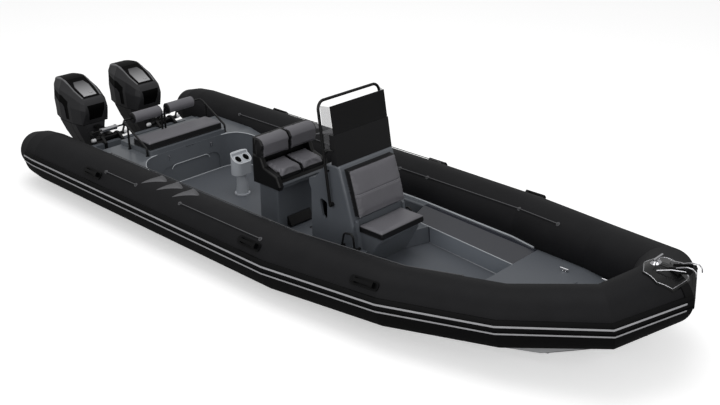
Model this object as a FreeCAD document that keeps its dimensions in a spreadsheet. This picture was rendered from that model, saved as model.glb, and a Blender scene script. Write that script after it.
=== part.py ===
import FreeCAD, Part
import Sketcher
import math
import os
from FreeCAD import Placement, Rotation, Vector

# Rigid inflatable boat of the open, twin-outboard kind.
# Frame: +X towards the bow, +Y to port, +Z up; the origin is on the centreline,
# at the waterline, in the plane of the transom's aft face.  All sizes are millimetres.

doc = FreeCAD.newDocument("InflatableBoat")
sheet = doc.addObject("Spreadsheet::Sheet", "Sizes")

SIZES = (
    # alias, value, what it is
    ("tube_radius", 300, "radius of the inflatable tube along the sides"),
    ("tube_offset", 1225, "tube axis from the centreline along the sides"),
    ("tube_height", 380, "tube axis above the waterline along the sides"),
    ("tube_straight", 4150, "where the tube starts to turn in towards the bow"),
    ("bow_reach", 3410, "from there to the tube axis at the stem"),
    ("bow_rise", 410, "rise of the tube axis at the stem"),
    ("bow_radius", 265, "tube radius at the stem"),
    ("tail_length", 500, "tube end cone aft of the transom"),
    ("tail_radius", 215, "radius of the end cone's disc"),
    ("strake_depth", 14, "how far the rubbing strake stands off the tube"),
    ("strake_rib", 8, "how far each rib stands off the strake"),
    ("keel_depth", 380, "keel below the waterline"),
    ("chine_half", 1030, "half breadth of the hull at the chine"),
    ("chine_height", -10, "chine above the waterline along the sides"),
    ("sole_height", 50, "cockpit sole above the waterline"),
    ("flange_half", 930, "half breadth of the deck moulding at the tube"),
    ("flange_height", 340, "deck moulding's edge above the waterline"),
    ("flange_thick", 10, "thickness of the deck moulding's edge"),
    ("wall_thickness", 60, "thickness of the cockpit's side wall"),
    ("fore_ledge_height", 250, "inner edge of the fore cockpit's ledges"),
    ("bow_deck_thick", 40, "thickness of the bow deck"),
    ("transom_height", 400, "top of the transom above the waterline"),
    ("transom_thickness", 70, "thickness of the transom"),
    ("bench_face", 1110, "front face of the stern bench"),
    ("bench_deck", 500, "deck round the stern bench"),
    ("bench_half", 590, "half length of the stern bench"),
    ("bench_corner", 330, "radius of the corners beside the bench"),
    ("bench_pad", 96, "thickness of the bench's cushion"),
    ("lid_thick", 56, "thickness of the bench's lid"),
    ("lid_aft", 690, "aft edge of the bench's lid"),
    ("bolster_radius", 70, "radius of the bench's back rolls"),
    ("bolster_height", 845, "centre of the back rolls above the waterline"),
    ("bolster_place", 588, "centre of the back rolls forward of the transom"),
    ("post_radius", 13, "tube of the bench's frame"),
    ("console_half", 420, "half width of the steering console"),
    ("console_aft", 3730, "aft face of the steering console"),
    ("console_fore", 4330, "foot of the console's front face"),
    ("console_wall", 30, "wall of the console moulding"),
    ("console_top", 1140, "top of the console"),
    ("screen_foot", 4110, "aft face of the windscreen at the console's top"),
    ("screen_lean", 110, "how far the windscreen leans aft over its height"),
    ("screen_top", 1750, "top edge of the windscreen"),
    ("screen_band_top", 1455, "top edge of the windscreen's lower panel"),
    ("screen_thick", 8, "thickness of the windscreen"),
    ("rail_radius", 16, "tube of the console's frame"),
    ("seat_half", 340, "half width of the console's front seat"),
    ("seat_front", 4675, "front edge of the console's seat cushion"),
    ("seat_low", 440, "underside of the console's seat cushion"),
    ("seat_pad", 75, "thickness of the console's seat cushion"),
    ("helm_front", 3070, "front face of the helm seat's base"),
    ("helm_depth", 300, "fore and aft length of the helm seat's base"),
    ("helm_half", 310, "half width of the helm seat's base"),
    ("helm_top", 590, "top of the helm seat's base"),
    ("helm_shell_half", 400, "half width of the helm seat's shell"),
    ("helm_pad_half", 334, "half width of the helm seat's cushions"),
    ("helm_back_half", 431, "half width of the helm seat's backrests"),
    ("footrest_half", 175, "half width of the helm seat's footrest"),
    ("wheel_radius", 175, "radius of the steering wheel's rim"),
    ("wheel_grip", 14, "radius of the rim's section"),
    ("pod_place", 1960, "cup pedestal forward of the transom"),
    ("pod_side", 110, "cup pedestal to port of the centreline"),
    ("cup_radius", 40, "radius of a cup hole"),
    ("hatch_half", 400, "half width of the anchor hatch's aft edge"),
    ("hatch_thick", 24, "thickness of the anchor hatch"),
    ("locker_half", 230, "half width of the anchor locker"),
    ("engine_offset", 430, "outboard's centreline from the boat's"),
    ("tilt_height", 446, "tilt tube above the waterline"),
    ("cowl_half", 246, "half breadth of the outboard's upper cowl"),
    ("plate_depth", 250, "planing plate below the waterline"),
    ("prop_depth", 450, "propeller shaft below the waterline"),
    ("prop_radius", 190, "radius of the propeller"),
    ("prop_shaft", 14, "radius of the propeller shaft"),
    ("pin_radius", 4, "radius of a lid's hinge pin"),
    ("eye_hole", 15, "radius of the hole in a towing eye"),
    ("eye_thick", 12, "thickness of a towing eye"),
    ("turn_fit", 0.05, "radial clearance of a turning fit"),
    ("fit", 0.3, "clearance of a resting fit"),
    ("seam", 4, "gap round a lid"),
)

for row, (alias, value, meaning) in enumerate(SIZES, 1):
    sheet.set(f"A{row}", meaning)
    sheet.set(f"B{row}", str(value))
    sheet.setAlias(f"B{row}", alias)
doc.recompute()


def size(alias):
    return float(sheet.get(alias))


pieces = []


def keep(name, shape, place=None):
    """Adds a finished shape to the document as one named sub-part."""
    piece = doc.addObject("Part::Feature", name)
    piece.Shape = shape
    piece.Placement = place or Placement()
    piece.Label = name
    pieces.append(piece)
    return piece


def bound(kind, name, cells):
    """A primitive whose sizes and place follow the sheet."""
    piece = doc.addObject(kind, name)
    piece.Label = name
    for target, text in cells.items():
        piece.setExpression(target, text)
    return piece


def profile_body(name, corners, half, radius=None, rounded=()):
    """A body padded to both sides of the centreline from a side profile.

    corners holds the X and Z of each corner as expressions on the sheet; rounded holds
    the numbers of the corners whose long edges get the fillet radius.
    """
    body = doc.addObject("PartDesign::Body", name)
    body.Label = name
    outline = body.newObject("Sketcher::SketchObject", name + "_outline")
    outline.Placement = Placement(Vector(0, 0, 0), Rotation(Vector(1, 0, 0), 90))
    spots = [(value_of(x), value_of(z)) for x, z in corners]
    count = len(spots)
    for index, (x, z) in enumerate(spots):
        after = spots[(index + 1) % count]
        side = Part.LineSegment(Vector(x, z, 0), Vector(after[0], after[1], 0))
        outline.addGeometry(side, False)
    for index, (x, z) in enumerate(spots):
        outline.addConstraint(Sketcher.Constraint("Coincident", index, 2, (index + 1) % count, 1))
        across = outline.addConstraint(Sketcher.Constraint("DistanceX", -1, 1, index, 1, x))
        outline.setExpression(f"Constraints[{across}]", corners[index][0])
        upward = outline.addConstraint(Sketcher.Constraint("DistanceY", -1, 1, index, 1, z))
        outline.setExpression(f"Constraints[{upward}]", corners[index][1])
    pad = body.newObject("PartDesign::Pad", name + "_pad")
    pad.Profile = outline
    pad.SideType = "Symmetric"
    pad.setExpression("Length", f"2 * ({half})")
    doc.recompute()
    if rounded:
        chosen = []
        for number, edge in enumerate(pad.Shape.Edges, 1):
            start = edge.Vertexes[0].Point
            along_y = abs(edge.tangentAt(edge.FirstParameter).y) > 0.9
            near = [index for index in rounded
                    if math.hypot(start.x - spots[index][0], start.z - spots[index][1]) < 1.0]
            if along_y and near:
                chosen.append(f"Edge{number}")
        rounding = body.newObject("PartDesign::Fillet", name + "_round")
        rounding.Base = (pad, chosen)
        rounding.setExpression("Radius", radius)
        doc.recompute()
    return body


def value_of(text):
    """What an expression on the sheet comes to."""
    return float(sheet.evalExpression(text))


def keep_body(body):
    pieces.append(body)
    return body


def face_of(points):
    return Part.Face(Part.makePolygon(list(points) + [points[0]]))


def slab_xz(outline, half, middle=0.0):
    """A side profile, pushed out to both sides of y = middle."""
    points = [Vector(x, middle - half, z) for x, z in outline]
    return face_of(points).extrude(Vector(0, 2 * half, 0))


def slab_xy(outline, low, high):
    points = [Vector(x, y, low) for x, y in outline]
    return face_of(points).extrude(Vector(0, 0, high - low))


def slab_yz(outline, aft, fore):
    points = [Vector(aft, y, z) for y, z in outline]
    return face_of(points).extrude(Vector(fore - aft, 0, 0))


def box(x, y, z):
    """A box from three pairs of limits."""
    return Part.makeBox(x[1] - x[0], y[1] - y[0], z[1] - z[0], Vector(x[0], y[0], z[0]))


def rod(start, end, radius):
    along = end - start
    return Part.makeCylinder(radius, along.Length, start, along)


def rounded_edges(shape, radius, chooser):
    """The shape with a fillet along every edge that the chooser takes."""
    chosen = [edge for edge in shape.Edges if chooser(edge)]
    return shape.makeFillet(radius, chosen)


def upright(edge):
    return abs(edge.tangentAt(edge.FirstParameter).z) > 0.99


def bent_tube(points, radius, bend):
    """A round tube along straight runs joined by arcs of one bend radius."""
    edges = []
    last = points[0]
    for before, corner, after in zip(points, points[1:], points[2:]):
        back = (before - corner).normalize()
        ahead = (after - corner).normalize()
        half_turn = math.pi / 2 - back.getAngle(ahead) / 2
        cut = bend * math.tan(half_turn)
        start = corner + back * cut
        finish = corner + ahead * cut
        middle_way = (back + ahead).normalize()
        centre = corner + middle_way * (bend / math.cos(half_turn))
        middle = centre - middle_way * bend
        edges.append(Part.LineSegment(last, start).toShape())
        edges.append(Part.Arc(start, middle, finish).toShape())
        last = finish
    edges.append(Part.LineSegment(last, points[-1]).toShape())
    path = Part.Wire(edges)
    ring = Part.Wire(Part.Circle(points[0], points[1] - points[0], radius).toShape())
    return path.makePipeShell([ring], True, False)


def mirrored(shape):
    return shape.mirror(Vector(0, 0, 0), Vector(0, 1, 0))


def both_sides(shape):
    return shape, mirrored(shape)


def pair(shape):
    return Part.makeCompound(both_sides(shape))


def largest(shape):
    return max(shape.Solids, key=lambda solid: solid.Volume)


gap = size("fit")
turn_fit = size("turn_fit")

# ---------------------------------------------------------------- the tubes
tube_radius = size("tube_radius")
tube_offset = size("tube_offset")
tube_height = size("tube_height")
straight = size("tube_straight")
reach = size("bow_reach")
rise = size("bow_rise")
bow_radius = size("bow_radius")

# Stations of the tube's axis past the straight run, each where two panels meet:
# share of the bow's reach, share of the side offset, share of the rise
BOW_STATIONS = (
    (0.0, 1.0, 0.0),
    (0.396, 0.906, 0.14),
    (0.707, 0.69, 0.37),
    (0.935, 0.41, 0.75),
    (1.0, 0.0, 1.0),
)
# Stations of the tube's tail: share of the tail's length, share of the tube's radius
TAIL_STATIONS = ((0.55, 0.93), (0.1, 1.0))


def tube_stations():
    """Axis points and radii of the port tube, stern to stem."""
    tail = size("tail_length")
    stations = [(Vector(-tail, tube_offset, tube_height), size("tail_radius"))]
    for along, share in TAIL_STATIONS:
        stations.append((Vector(-along * tail, tube_offset, tube_height), share * tube_radius))
    for along, out, up in BOW_STATIONS:
        point = Vector(straight + along * reach, out * tube_offset, tube_height + up * rise)
        stations.append((point, tube_radius + (bow_radius - tube_radius) * along))
    return stations


stations = tube_stations()
axis_points = [point for point, radius in stations]
stem = axis_points[-1]
stem_x = stem.x
stem_z = stem.z


def mitre(index):
    """Outboard and upward directions of a station's section, and how much wider it is cut."""
    here = axis_points[index]
    if index == 0:
        normal, widen = (axis_points[1] - here).normalize(), 1.0
    elif index == len(axis_points) - 1:
        run = (here - axis_points[index - 1]).normalize()
        normal = Vector(0, -1, 0)
        widen = 1.0 / abs(run.dot(normal))
        return Vector(1, 0, 0), Vector(0, 0, 1), widen
    else:
        run_in = (here - axis_points[index - 1]).normalize()
        run_out = (axis_points[index + 1] - here).normalize()
        normal = (run_in + run_out).normalize()
        widen = 1.0 / normal.dot(run_in)
    outboard = Vector(0, 0, 1).cross(normal).normalize()
    if outboard.y < 0:
        outboard = outboard * -1
    upward = normal.cross(outboard).normalize()
    if upward.z < 0:
        upward = upward * -1
    return outboard, upward, widen


def tube_solid(extra=0.0):
    """The port tube, its radius made larger by extra."""
    rings = []
    for index, (point, radius) in enumerate(stations):
        outboard, upward, widen = mitre(index)
        grown = radius + extra
        ring = Part.Ellipse(
            point + outboard * (grown * max(widen, 1.00001)), point + upward * grown, point
        )
        rings.append(Part.Wire(ring.toShape()))
    return Part.makeLoft(rings, True, True)


port_tube = tube_solid()
starboard_tube = mirrored(port_tube)
keep("tube_port", port_tube)
keep("tube_starboard", starboard_tube)


def clear_of_tubes(shape):
    return shape.cut(port_tube).cut(starboard_tube)


def tube_skin(depth):
    """The skin about the port tube that strakes and pads are cut from."""
    return tube_solid(depth).cut(port_tube)


def tube_frame(x):
    """Where the tube's axis is at x: point, direction, outboard, upward, radius."""
    for (low, low_radius), (high, high_radius) in zip(stations, stations[1:]):
        if low.x <= x <= high.x:
            share = (x - low.x) / (high.x - low.x)
            point = low + (high - low) * share
            along = (high - low).normalize()
            outboard = Vector(0, 0, 1).cross(along).normalize()
            if outboard.y < 0:
                outboard = outboard * -1
            upward = along.cross(outboard).normalize()
            if upward.z < 0:
                upward = upward * -1
            return point, along, outboard, upward, low_radius + (high_radius - low_radius) * share
    raise ValueError("x is off the tube")


def over_tube(x, degrees, lift):
    """A point lift above the port tube's skin, degrees outboard of its top."""
    point, along, outboard, upward, radius = tube_frame(x)
    turn = math.radians(degrees)
    return point + outboard * ((radius + lift) * math.sin(turn)) + upward * ((radius + lift) * math.cos(turn))


# ---------------------------------------------------------------- rubbing strakes
# Share of the tube's radius below and above its axis that each band covers
STRAKE_BAND = (-0.80, 0.33)
RIB_BANDS = ((0.10, 0.18), (-0.14, -0.06))


def strake_window(low_share, high_share):
    """A band outboard of the port tube's axis between two shares of its radius."""
    sections = []
    for index, (point, radius) in enumerate(stations):
        if index < 1:
            continue
        outboard, upward, widen = mitre(index)
        inner = outboard * (0.35 * radius * widen)
        outer = outboard * (1.4 * radius * widen)
        low = Vector(0, 0, low_share * radius)
        high = Vector(0, 0, high_share * radius)
        corners = [point + inner + low, point + outer + low, point + outer + high, point + inner + high]
        sections.append(Part.makePolygon(corners + [corners[0]]))
    return Part.makeLoft(sections, True, True)


strake_depth = size("strake_depth")
strake = tube_skin(strake_depth).common(strake_window(*STRAKE_BAND))
rib_skin = tube_solid(strake_depth + size("strake_rib")).cut(tube_solid(strake_depth - 2))
ribs = [rib_skin.common(strake_window(low, high)) for low, high in RIB_BANDS]
ribbed = strake.fuse(ribs)
for name, shape in zip(("strake_port", "strake_starboard"), both_sides(ribbed)):
    keep(name, shape)

# ---------------------------------------------------------------- hull
keel = size("keel_depth")
chine_half = size("chine_half")
chine_height = size("chine_height")
flange_half = size("flange_half")
flange_height = size("flange_height")
flange_thick = size("flange_thick")
hull_top = flange_height - flange_thick
chine_flat = 5.0
chine_rise = 40.0

# Hull sections forward of the straight run: share of the bow's reach, keel above its
# straight depth, chine half breadth, chine above its straight height, top half breadth, rise of the top
HULL_STATIONS = (
    (0.40, 0.0, 890.0, 20.0, 880.0, 0.0),
    (0.50, 20.0, 800.0, 30.0, 850.0, 0.0),
    (0.62, 90.0, 690.0, 50.0, 720.0, 20.0),
    (0.76, 230.0, 510.0, 80.0, 590.0, 70.0),
    (0.88, 460.0, 270.0, 200.0, 420.0, 130.0),
    (0.965, 710.0, 60.0, 430.0, 120.0, 200.0),
)
bend_x = straight - 150.0
hull_rows = [(x, -keel, chine_half, chine_height, flange_half + 8, hull_top) for x in (0.0, bend_x)]
for along, keel_up, chine_y, chine_up, top_y, top_up in HULL_STATIONS:
    hull_rows.append(
        (straight + along * reach, keel_up - keel, chine_y, chine_height + chine_up, top_y, hull_top + top_up)
    )


def hull_section(x, keel_z, chine_y, chine_z, top_y, top_z):
    half = ((0.0, keel_z), (chine_y, chine_z), (chine_y + chine_flat, chine_z + chine_rise), (top_y, top_z))
    points = [Vector(x, y, z) for y, z in half]
    points += [Vector(x, -y, z) for y, z in reversed(half[1:])]
    return Part.makePolygon(points + [points[0]])


# Spray rails under the hull: where each starts and ends as a share of the way from keel to chine
SPRAY_RAILS = ((0.36, 0.42), (0.66, 0.72))
rail_root = 0.02


def spray_rail(inner, outer):
    """A three-cornered rail that runs along the hull's bottom from the stern to the bow."""
    sections = []
    for x, keel_z, chine_y, chine_z, top_y, top_z in hull_rows[:-2]:
        def spot(share, depth=0.0):
            return Vector(x, chine_y * share, keel_z + (chine_z - keel_z) * share + depth)
        foot = spot(outer)
        crest = Vector(foot.x, foot.y, spot(inner).z)
        corners = [spot(inner, 4.0), crest, spot(outer + rail_root, 4.0)]
        sections.append(Part.makePolygon(corners + [corners[0]]))
    return Part.makeLoft(sections, True, True)


hull = Part.makeLoft([hull_section(*row) for row in hull_rows], True, True)
hull = clear_of_tubes(hull)
for inner, outer in SPRAY_RAILS:
    hull = hull.fuse(list(both_sides(spray_rail(inner, outer))))

# The well that the deck moulding sits in: x, half breadth
well_half = flange_half - 35
pit_front = straight + 0.5 * reach
step_x = pit_front - 25
WELL = (
    (-1.0, well_half),
    (bend_x, well_half),
    (straight + 0.4 * reach, 0.9 * well_half),
    (pit_front, 0.83 * well_half),
)
well_outline = [(x, y) for x, y in WELL] + [(x, -y) for x, y in reversed(WELL)]
hull = hull.cut(slab_xy(well_outline, 0.0, 1000.0))
# A locker is cut through it once the bow deck's sizes are known.

# ---------------------------------------------------------------- transom and stern moulding
transom_top = size("transom_height")
transom_thick = size("transom_thickness")
bound_transom = bound(
    "Part::Box",
    "transom",
    {
        "Length": "Sizes.transom_thickness",
        "Width": "2 * (Sizes.flange_half - 35)",
        "Height": "Sizes.transom_height",
        "Placement.Base.y": "35 - Sizes.flange_half",
    },
)
keep_body(bound_transom)

bench_face = size("bench_face")
bench_half = size("bench_half")
bench_deck = size("bench_deck")
lid_thick = size("lid_thick")
lid_aft = size("lid_aft")
seam = size("seam")
wall = size("wall_thickness")
sole = size("sole_height")
inside_half = well_half - wall
corner_reach = size("bench_corner")
corner_end = bench_face + corner_reach


def stern_outline(outer_half):
    """Plan of the stern moulding with its rounded inner corners."""
    x0 = transom_thick
    start = Vector(bench_face, inside_half - corner_reach, 0)
    turn = corner_reach * math.sqrt(0.5)
    middle = Vector(corner_end - turn, inside_half - corner_reach + turn, 0)
    end = Vector(corner_end, inside_half, 0)
    edges = []
    for side in (1, -1):
        def place(v):
            return Vector(v.x, v.y * side, 0)
        edges.append(Part.makeLine(Vector(bench_face, 0, 0), place(start)))
        edges.append(Part.Arc(place(start), place(middle), place(end)).toShape())
        edges.append(Part.makeLine(place(end), place(Vector(corner_end, outer_half, 0))))
        edges.append(Part.makeLine(place(Vector(corner_end, outer_half, 0)), place(Vector(x0, outer_half, 0))))
        edges.append(Part.makeLine(place(Vector(x0, outer_half, 0)), Vector(x0, 0, 0)))
    return Part.Face(Part.Wire(Part.__sortEdges__(edges)))


wide = tube_offset
after_deck = 470.0
deck_drop = bench_deck - transom_top
stern = stern_outline(well_half).extrude(Vector(0, 0, bench_deck))
stern_edge = stern_outline(wide).extrude(Vector(0, 0, bench_deck - hull_top))
stern_edge.translate(Vector(0, 0, hull_top))
stern = stern.fuse(stern_edge)
# The deck steps down aft of the bench, and the corner's coaming falls to the side deck.
coaming_fall = [(bench_face + 60, bench_deck), (corner_end + 1, bench_deck - 40), (corner_end + 1, bench_deck + 99)]
stern = stern.cut(slab_xz(coaming_fall, wide))
stern = stern.cut(slab_xz([(0, transom_top), (after_deck - deck_drop, transom_top), (after_deck, bench_deck),
                           (after_deck, 2000), (0, 2000)], wide))
splash_half = 0.8 * well_half
splash_floor = 0.62 * transom_top
splash = box((transom_thick, after_deck - 40), (-splash_half, splash_half), (splash_floor, 2000))
locker_wall = 50.0
bench_locker = box((lid_aft + 16, bench_face - locker_wall),
                   (locker_wall - bench_half, bench_half - locker_wall), (120, bench_deck + 1))
plinth = box((after_deck, lid_aft - seam), (-bench_half, bench_half), (bench_deck - 1, bench_deck + lid_thick))
# Face of the bench: a shallow toe space under a moulded lip and a finger slot below the lid
toe_half = 470.0
toe_space = box((bench_face - 14, bench_face + 1), (-toe_half, toe_half), (sole - 1, 300.0))
toe_space = rounded_edges(toe_space, 120.0, lambda edge: abs(edge.tangentAt(edge.FirstParameter).x) > 0.99
                          and edge.Vertexes[0].Point.z > 200)
finger_slot = box((bench_face - 12, bench_face + 1), (-60, 60), (bench_deck - 22, bench_deck - 6))
stern = clear_of_tubes(stern.fuse(plinth).cut([splash, bench_locker, toe_space, finger_slot]))

hinge_z = bench_deck + lid_thick
pin_radius = size("pin_radius")
barrel_radius = 2.2 * pin_radius
# Bench hinges: middle of each, half length of the lid's barrel, length of each fixed barrel
LID_HINGES = (-420.0, 420.0)
barrel_half = 26.0
fixed_barrel = 18.0


def hinge_parts(x, y, z):
    """Fixed barrels with their pin, and the lid's barrel that turns on it."""
    ends = barrel_half + fixed_barrel
    pin = rod(Vector(x, y - ends, z), Vector(x, y + ends, z), pin_radius)
    fixed = [pin]
    for side in (-1, 1):
        near = Vector(x, y + side * (barrel_half + gap), z)
        fixed.append(rod(near, Vector(x, y + side * ends, z), barrel_radius))
    moving = rod(Vector(x, y - barrel_half, z), Vector(x, y + barrel_half, z), barrel_radius)
    moving = moving.cut(rod(Vector(x, y - ends, z), Vector(x, y + ends, z), pin_radius + turn_fit))
    return fixed, moving


def hinge_hole(x, y, z):
    """The space that a hinge needs in the pieces beside it."""
    ends = barrel_half + fixed_barrel
    return rod(Vector(x, y - ends - 1, z), Vector(x, y + ends + 1, z), barrel_radius + 1.2)


lid_hinge_x = lid_aft - 0.5 * seam
lid = box((lid_aft, bench_face - 2 * seam), (-bench_half, bench_half), (bench_deck + gap, hinge_z))
lid = rounded_edges(lid, 30.0, lambda edge: upright(edge) and edge.Vertexes[0].Point.x > bench_face - 100)
for y in LID_HINGES:
    fixed, moving = hinge_parts(lid_hinge_x, y, hinge_z)
    hole = hinge_hole(lid_hinge_x, y, hinge_z)
    stern = stern.cut(hole)
    lid = lid.cut(hole)
    leaf = box((lid_hinge_x + 2, lid_hinge_x + 22), (y - barrel_half, y + barrel_half), (hinge_z - 2, hinge_z + 3))
    leaf = leaf.cut(rod(Vector(lid_hinge_x, y - 60, hinge_z), Vector(lid_hinge_x, y + 60, hinge_z), pin_radius + 1))
    lid = lid.fuse(moving.fuse(leaf))
    base = box((lid_hinge_x - 24, lid_hinge_x - 2), (y - 44, y + 44), (hinge_z - 2, hinge_z + 3))
    base = base.cut(box((lid_hinge_x - 11, lid_hinge_x), (y - 26.3, y + 26.3), (hinge_z - 9, hinge_z + 9)))
    stern = stern.fuse(fixed + [base])
keep("stern_moulding", stern)
keep("bench_lid", lid)

# ---------------------------------------------------------------- side walls, ledges, sole
def beside_tube(shape):
    """A port piece of the deck moulding trimmed to the well and the tubes; what lies outboard is dropped."""
    return min(clear_of_tubes(shape).cut(hull).Solids, key=lambda solid: solid.BoundBox.YMin)


ledge_aft = straight + 100.0
coaming_end = corner_end + 470.0
wall_round = 25.0
wall_section = Part.Wire(
    [
        Part.makeLine(Vector(corner_end, inside_half, 0), Vector(corner_end, inside_half, bench_deck)),
        Part.makeLine(Vector(corner_end, inside_half, bench_deck), Vector(corner_end, wide, bench_deck)),
        Part.makeLine(Vector(corner_end, wide, bench_deck), Vector(corner_end, wide, 0)),
        Part.makeLine(Vector(corner_end, wide, 0), Vector(corner_end, inside_half, 0)),
    ]
)
side = Part.Face(wall_section).extrude(Vector(ledge_aft - corner_end, 0, 0))
wall_side = slab_xz(
    [
        (corner_end, 0),
        (corner_end, bench_deck - 40),
        (corner_end + 0.5 * (coaming_end - corner_end), 0.5 * (bench_deck - 40 + flange_height) - 12),
        (coaming_end, flange_height),
        (ledge_aft, flange_height),
        (ledge_aft, 0),
    ],
    wide,
)
side = side.common(wall_side)
side = rounded_edges(
    side,
    wall_round,
    lambda edge: all(abs(v.Point.y - inside_half) < 1 and v.Point.z > hull_top - 20 for v in edge.Vertexes),
)
keep("side_walls", pair(beside_tube(side)))

# Fore ledges: x, foot of the riser, top of the riser, where the slope meets the flange
LEDGE_STATIONS = (
    (ledge_aft, 640.0, 618.0, 0.94 * well_half),
    (step_x, 470.0, 452.0, 0.80 * well_half),
)
ledge_top = size("fore_ledge_height")


def ledge_section(x, foot, crest, shoulder):
    outline = ((foot, 0.0), (crest, ledge_top), (shoulder, flange_height), (wide, flange_height), (wide, 0.0))
    points = [Vector(x, y, z) for y, z in outline]
    return Part.makePolygon(points + [points[0]])


ledge = Part.makeLoft([ledge_section(*row) for row in LEDGE_STATIONS], True, True)
keep("fore_ledges", pair(beside_tube(ledge)))

sole_fore = LEDGE_STATIONS[1][1]
sole_slab = box((bench_face - 20, step_x), (-inside_half, inside_half), (0, sole))
sole_slab = sole_slab.cut([stern, ledge, mirrored(ledge)]).cut(hull)
keep("cockpit_sole", sole_slab)

# ---------------------------------------------------------------- bow deck, anchor locker, hatch
deck_thick = size("bow_deck_thick")
deck_line = [(step_x, flange_height)]
for along, keel_up, chine_y, chine_up, top_y, top_up in HULL_STATIONS:
    if along > 0.5:
        deck_line.append((straight + along * reach, hull_top + top_up + deck_thick))
under_line = [(step_x, 0.0), (pit_front, 0.0), (pit_front, hull_top)]
under_line += [(x, z - deck_thick) for x, z in deck_line[1:]]


def line_height(line, x):
    for (x0, z0), (x1, z1) in zip(line, line[1:]):
        if x0 <= x <= x1:
            return z0 + (z1 - z0) * (x - x0) / (x1 - x0)
    return line[-1][1]


def raised(line, low, high, lift):
    """The part of a side line between two places, lifted."""
    inner = [(x, z + lift) for x, z in line if low < x < high]
    return [(low, line_height(line, low) + lift)] + inner + [(high, line_height(line, high) + lift)]


deck = slab_xz(deck_line + under_line[::-1], 1000.0)
axis_plan = [(p.x, p.y) for p in axis_points if p.x >= straight]
axis_plan = axis_plan + [(x, -y) for x, y in reversed(axis_plan[:-1])]
deck = deck.common(slab_xy(axis_plan, -500.0, 1500.0))
deck = clear_of_tubes(deck).cut(hull)

locker_aft = straight + 0.735 * reach
locker_fore = straight + 0.85 * reach
locker_half = size("locker_half")
locker_floor = 180.0
locker_hole = box((locker_aft, locker_fore), (-locker_half, locker_half), (locker_floor, 1500.0))
hatch_aft = locker_aft - 60.0
hatch_fore = locker_fore + 60.0
hatch_half = size("hatch_half")
hatch_thick = size("hatch_thick")
hatch_fore_half = 0.70 * hatch_half
# The hatch's sides run parallel this far from the hinge, so that its lower corners swing clear of the deck.
hatch_parallel = 2.0 * hatch_thick


def hatch_plan(grown):
    return [
        (hatch_aft - grown, -hatch_half - grown),
        (hatch_aft - grown, hatch_half + grown),
        (hatch_aft + hatch_parallel, hatch_half + grown),
        (hatch_fore + grown, hatch_fore_half + grown),
        (hatch_fore + grown, -hatch_fore_half - grown),
        (hatch_aft + hatch_parallel, -hatch_half - grown),
    ]


def hatch_layer(low, high, grown):
    start = hatch_aft - grown
    end = hatch_fore + grown
    side_view = raised(deck_line, start, end, high) + raised(deck_line, start, end, low)[::-1]
    return slab_xz(side_view, 1000.0).common(slab_xy(hatch_plan(grown), 0.0, 1500.0))


hatch = hatch_layer(-hatch_thick + gap, 3.0, 0.0)
hatch = rounded_edges(hatch, 45.0, lambda edge: upright(edge) and edge.Vertexes[0].Point.x > hatch_fore - 1)
rebate = hatch_layer(-hatch_thick, 60.0, seam)
deck = deck.cut(rebate).cut(locker_hole)
deck = sorted(deck.Solids, key=lambda solid: -solid.Volume)[0]
hull = hull.cut(locker_hole)
keep("hull_shell", hull)

HATCH_HINGES = (-230.0, 230.0)
hatch_hinge_x = hatch_aft - 0.5 * seam
hatch_hinge_z = line_height(deck_line, hatch_hinge_x) + 4.0
for y in HATCH_HINGES:
    fixed, moving = hinge_parts(hatch_hinge_x, y, hatch_hinge_z)
    hole = hinge_hole(hatch_hinge_x, y, hatch_hinge_z)
    leaf = box((hatch_hinge_x + 2, hatch_hinge_x + 26), (y - barrel_half, y + barrel_half),
               (hatch_hinge_z - 4, hatch_hinge_z + 4))
    leaf = leaf.cut(rod(Vector(hatch_hinge_x, y - 60, hatch_hinge_z),
                        Vector(hatch_hinge_x, y + 60, hatch_hinge_z), pin_radius + 1))
    hatch = hatch.cut(hole).fuse(moving.fuse(leaf))
    base = box((hatch_hinge_x - 26, hatch_hinge_x - 2), (y - 44, y + 44),
               (hatch_hinge_z - 8, hatch_hinge_z + 4))
    base = base.cut(box((hatch_hinge_x - 11, hatch_hinge_x), (y - 26.3, y + 26.3),
                        (hatch_hinge_z - 20, hatch_hinge_z + 10)))
    deck = deck.cut(hole).fuse(fixed + [base])
keep("bow_deck", deck)
keep("anchor_hatch", hatch)

# ---------------------------------------------------------------- bow plate, guard, roller
plate_depth = 12.0
plate_skin = tube_skin(plate_depth)
saddle = clear_of_tubes(plate_skin.fuse(mirrored(plate_skin)))
cleared = tube_solid(plate_depth + gap)
over_saddle = (cleared, mirrored(cleared))
# Half plan of the plate: x from the stem, half breadth
PLATE_PLAN = ((-190, 0), (-90, 190), (60, 220), (180, 150), (230, 0))
plate_plan = [(stem_x + x, y) for x, y in PLATE_PLAN]
plate_plan += [(stem_x + x, -y) for x, y in PLATE_PLAN[-2:0:-1]]
plate = saddle.common(slab_xy(plate_plan, stem_z, stem_z + 600))
keep("bow_plate", sorted(plate.Solids, key=lambda solid: -solid.Volume)[0])

guard_half = 70.0
guard = saddle.common(box((stem_x + 100, stem_x + 500), (-guard_half, guard_half), (stem_z - 90, stem_z + 190)))
guard = guard.cut(plate).cut(list(both_sides(ribbed)))
keep("bow_guard", sorted(guard.Solids, key=lambda solid: -solid.Volume)[0])

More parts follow.
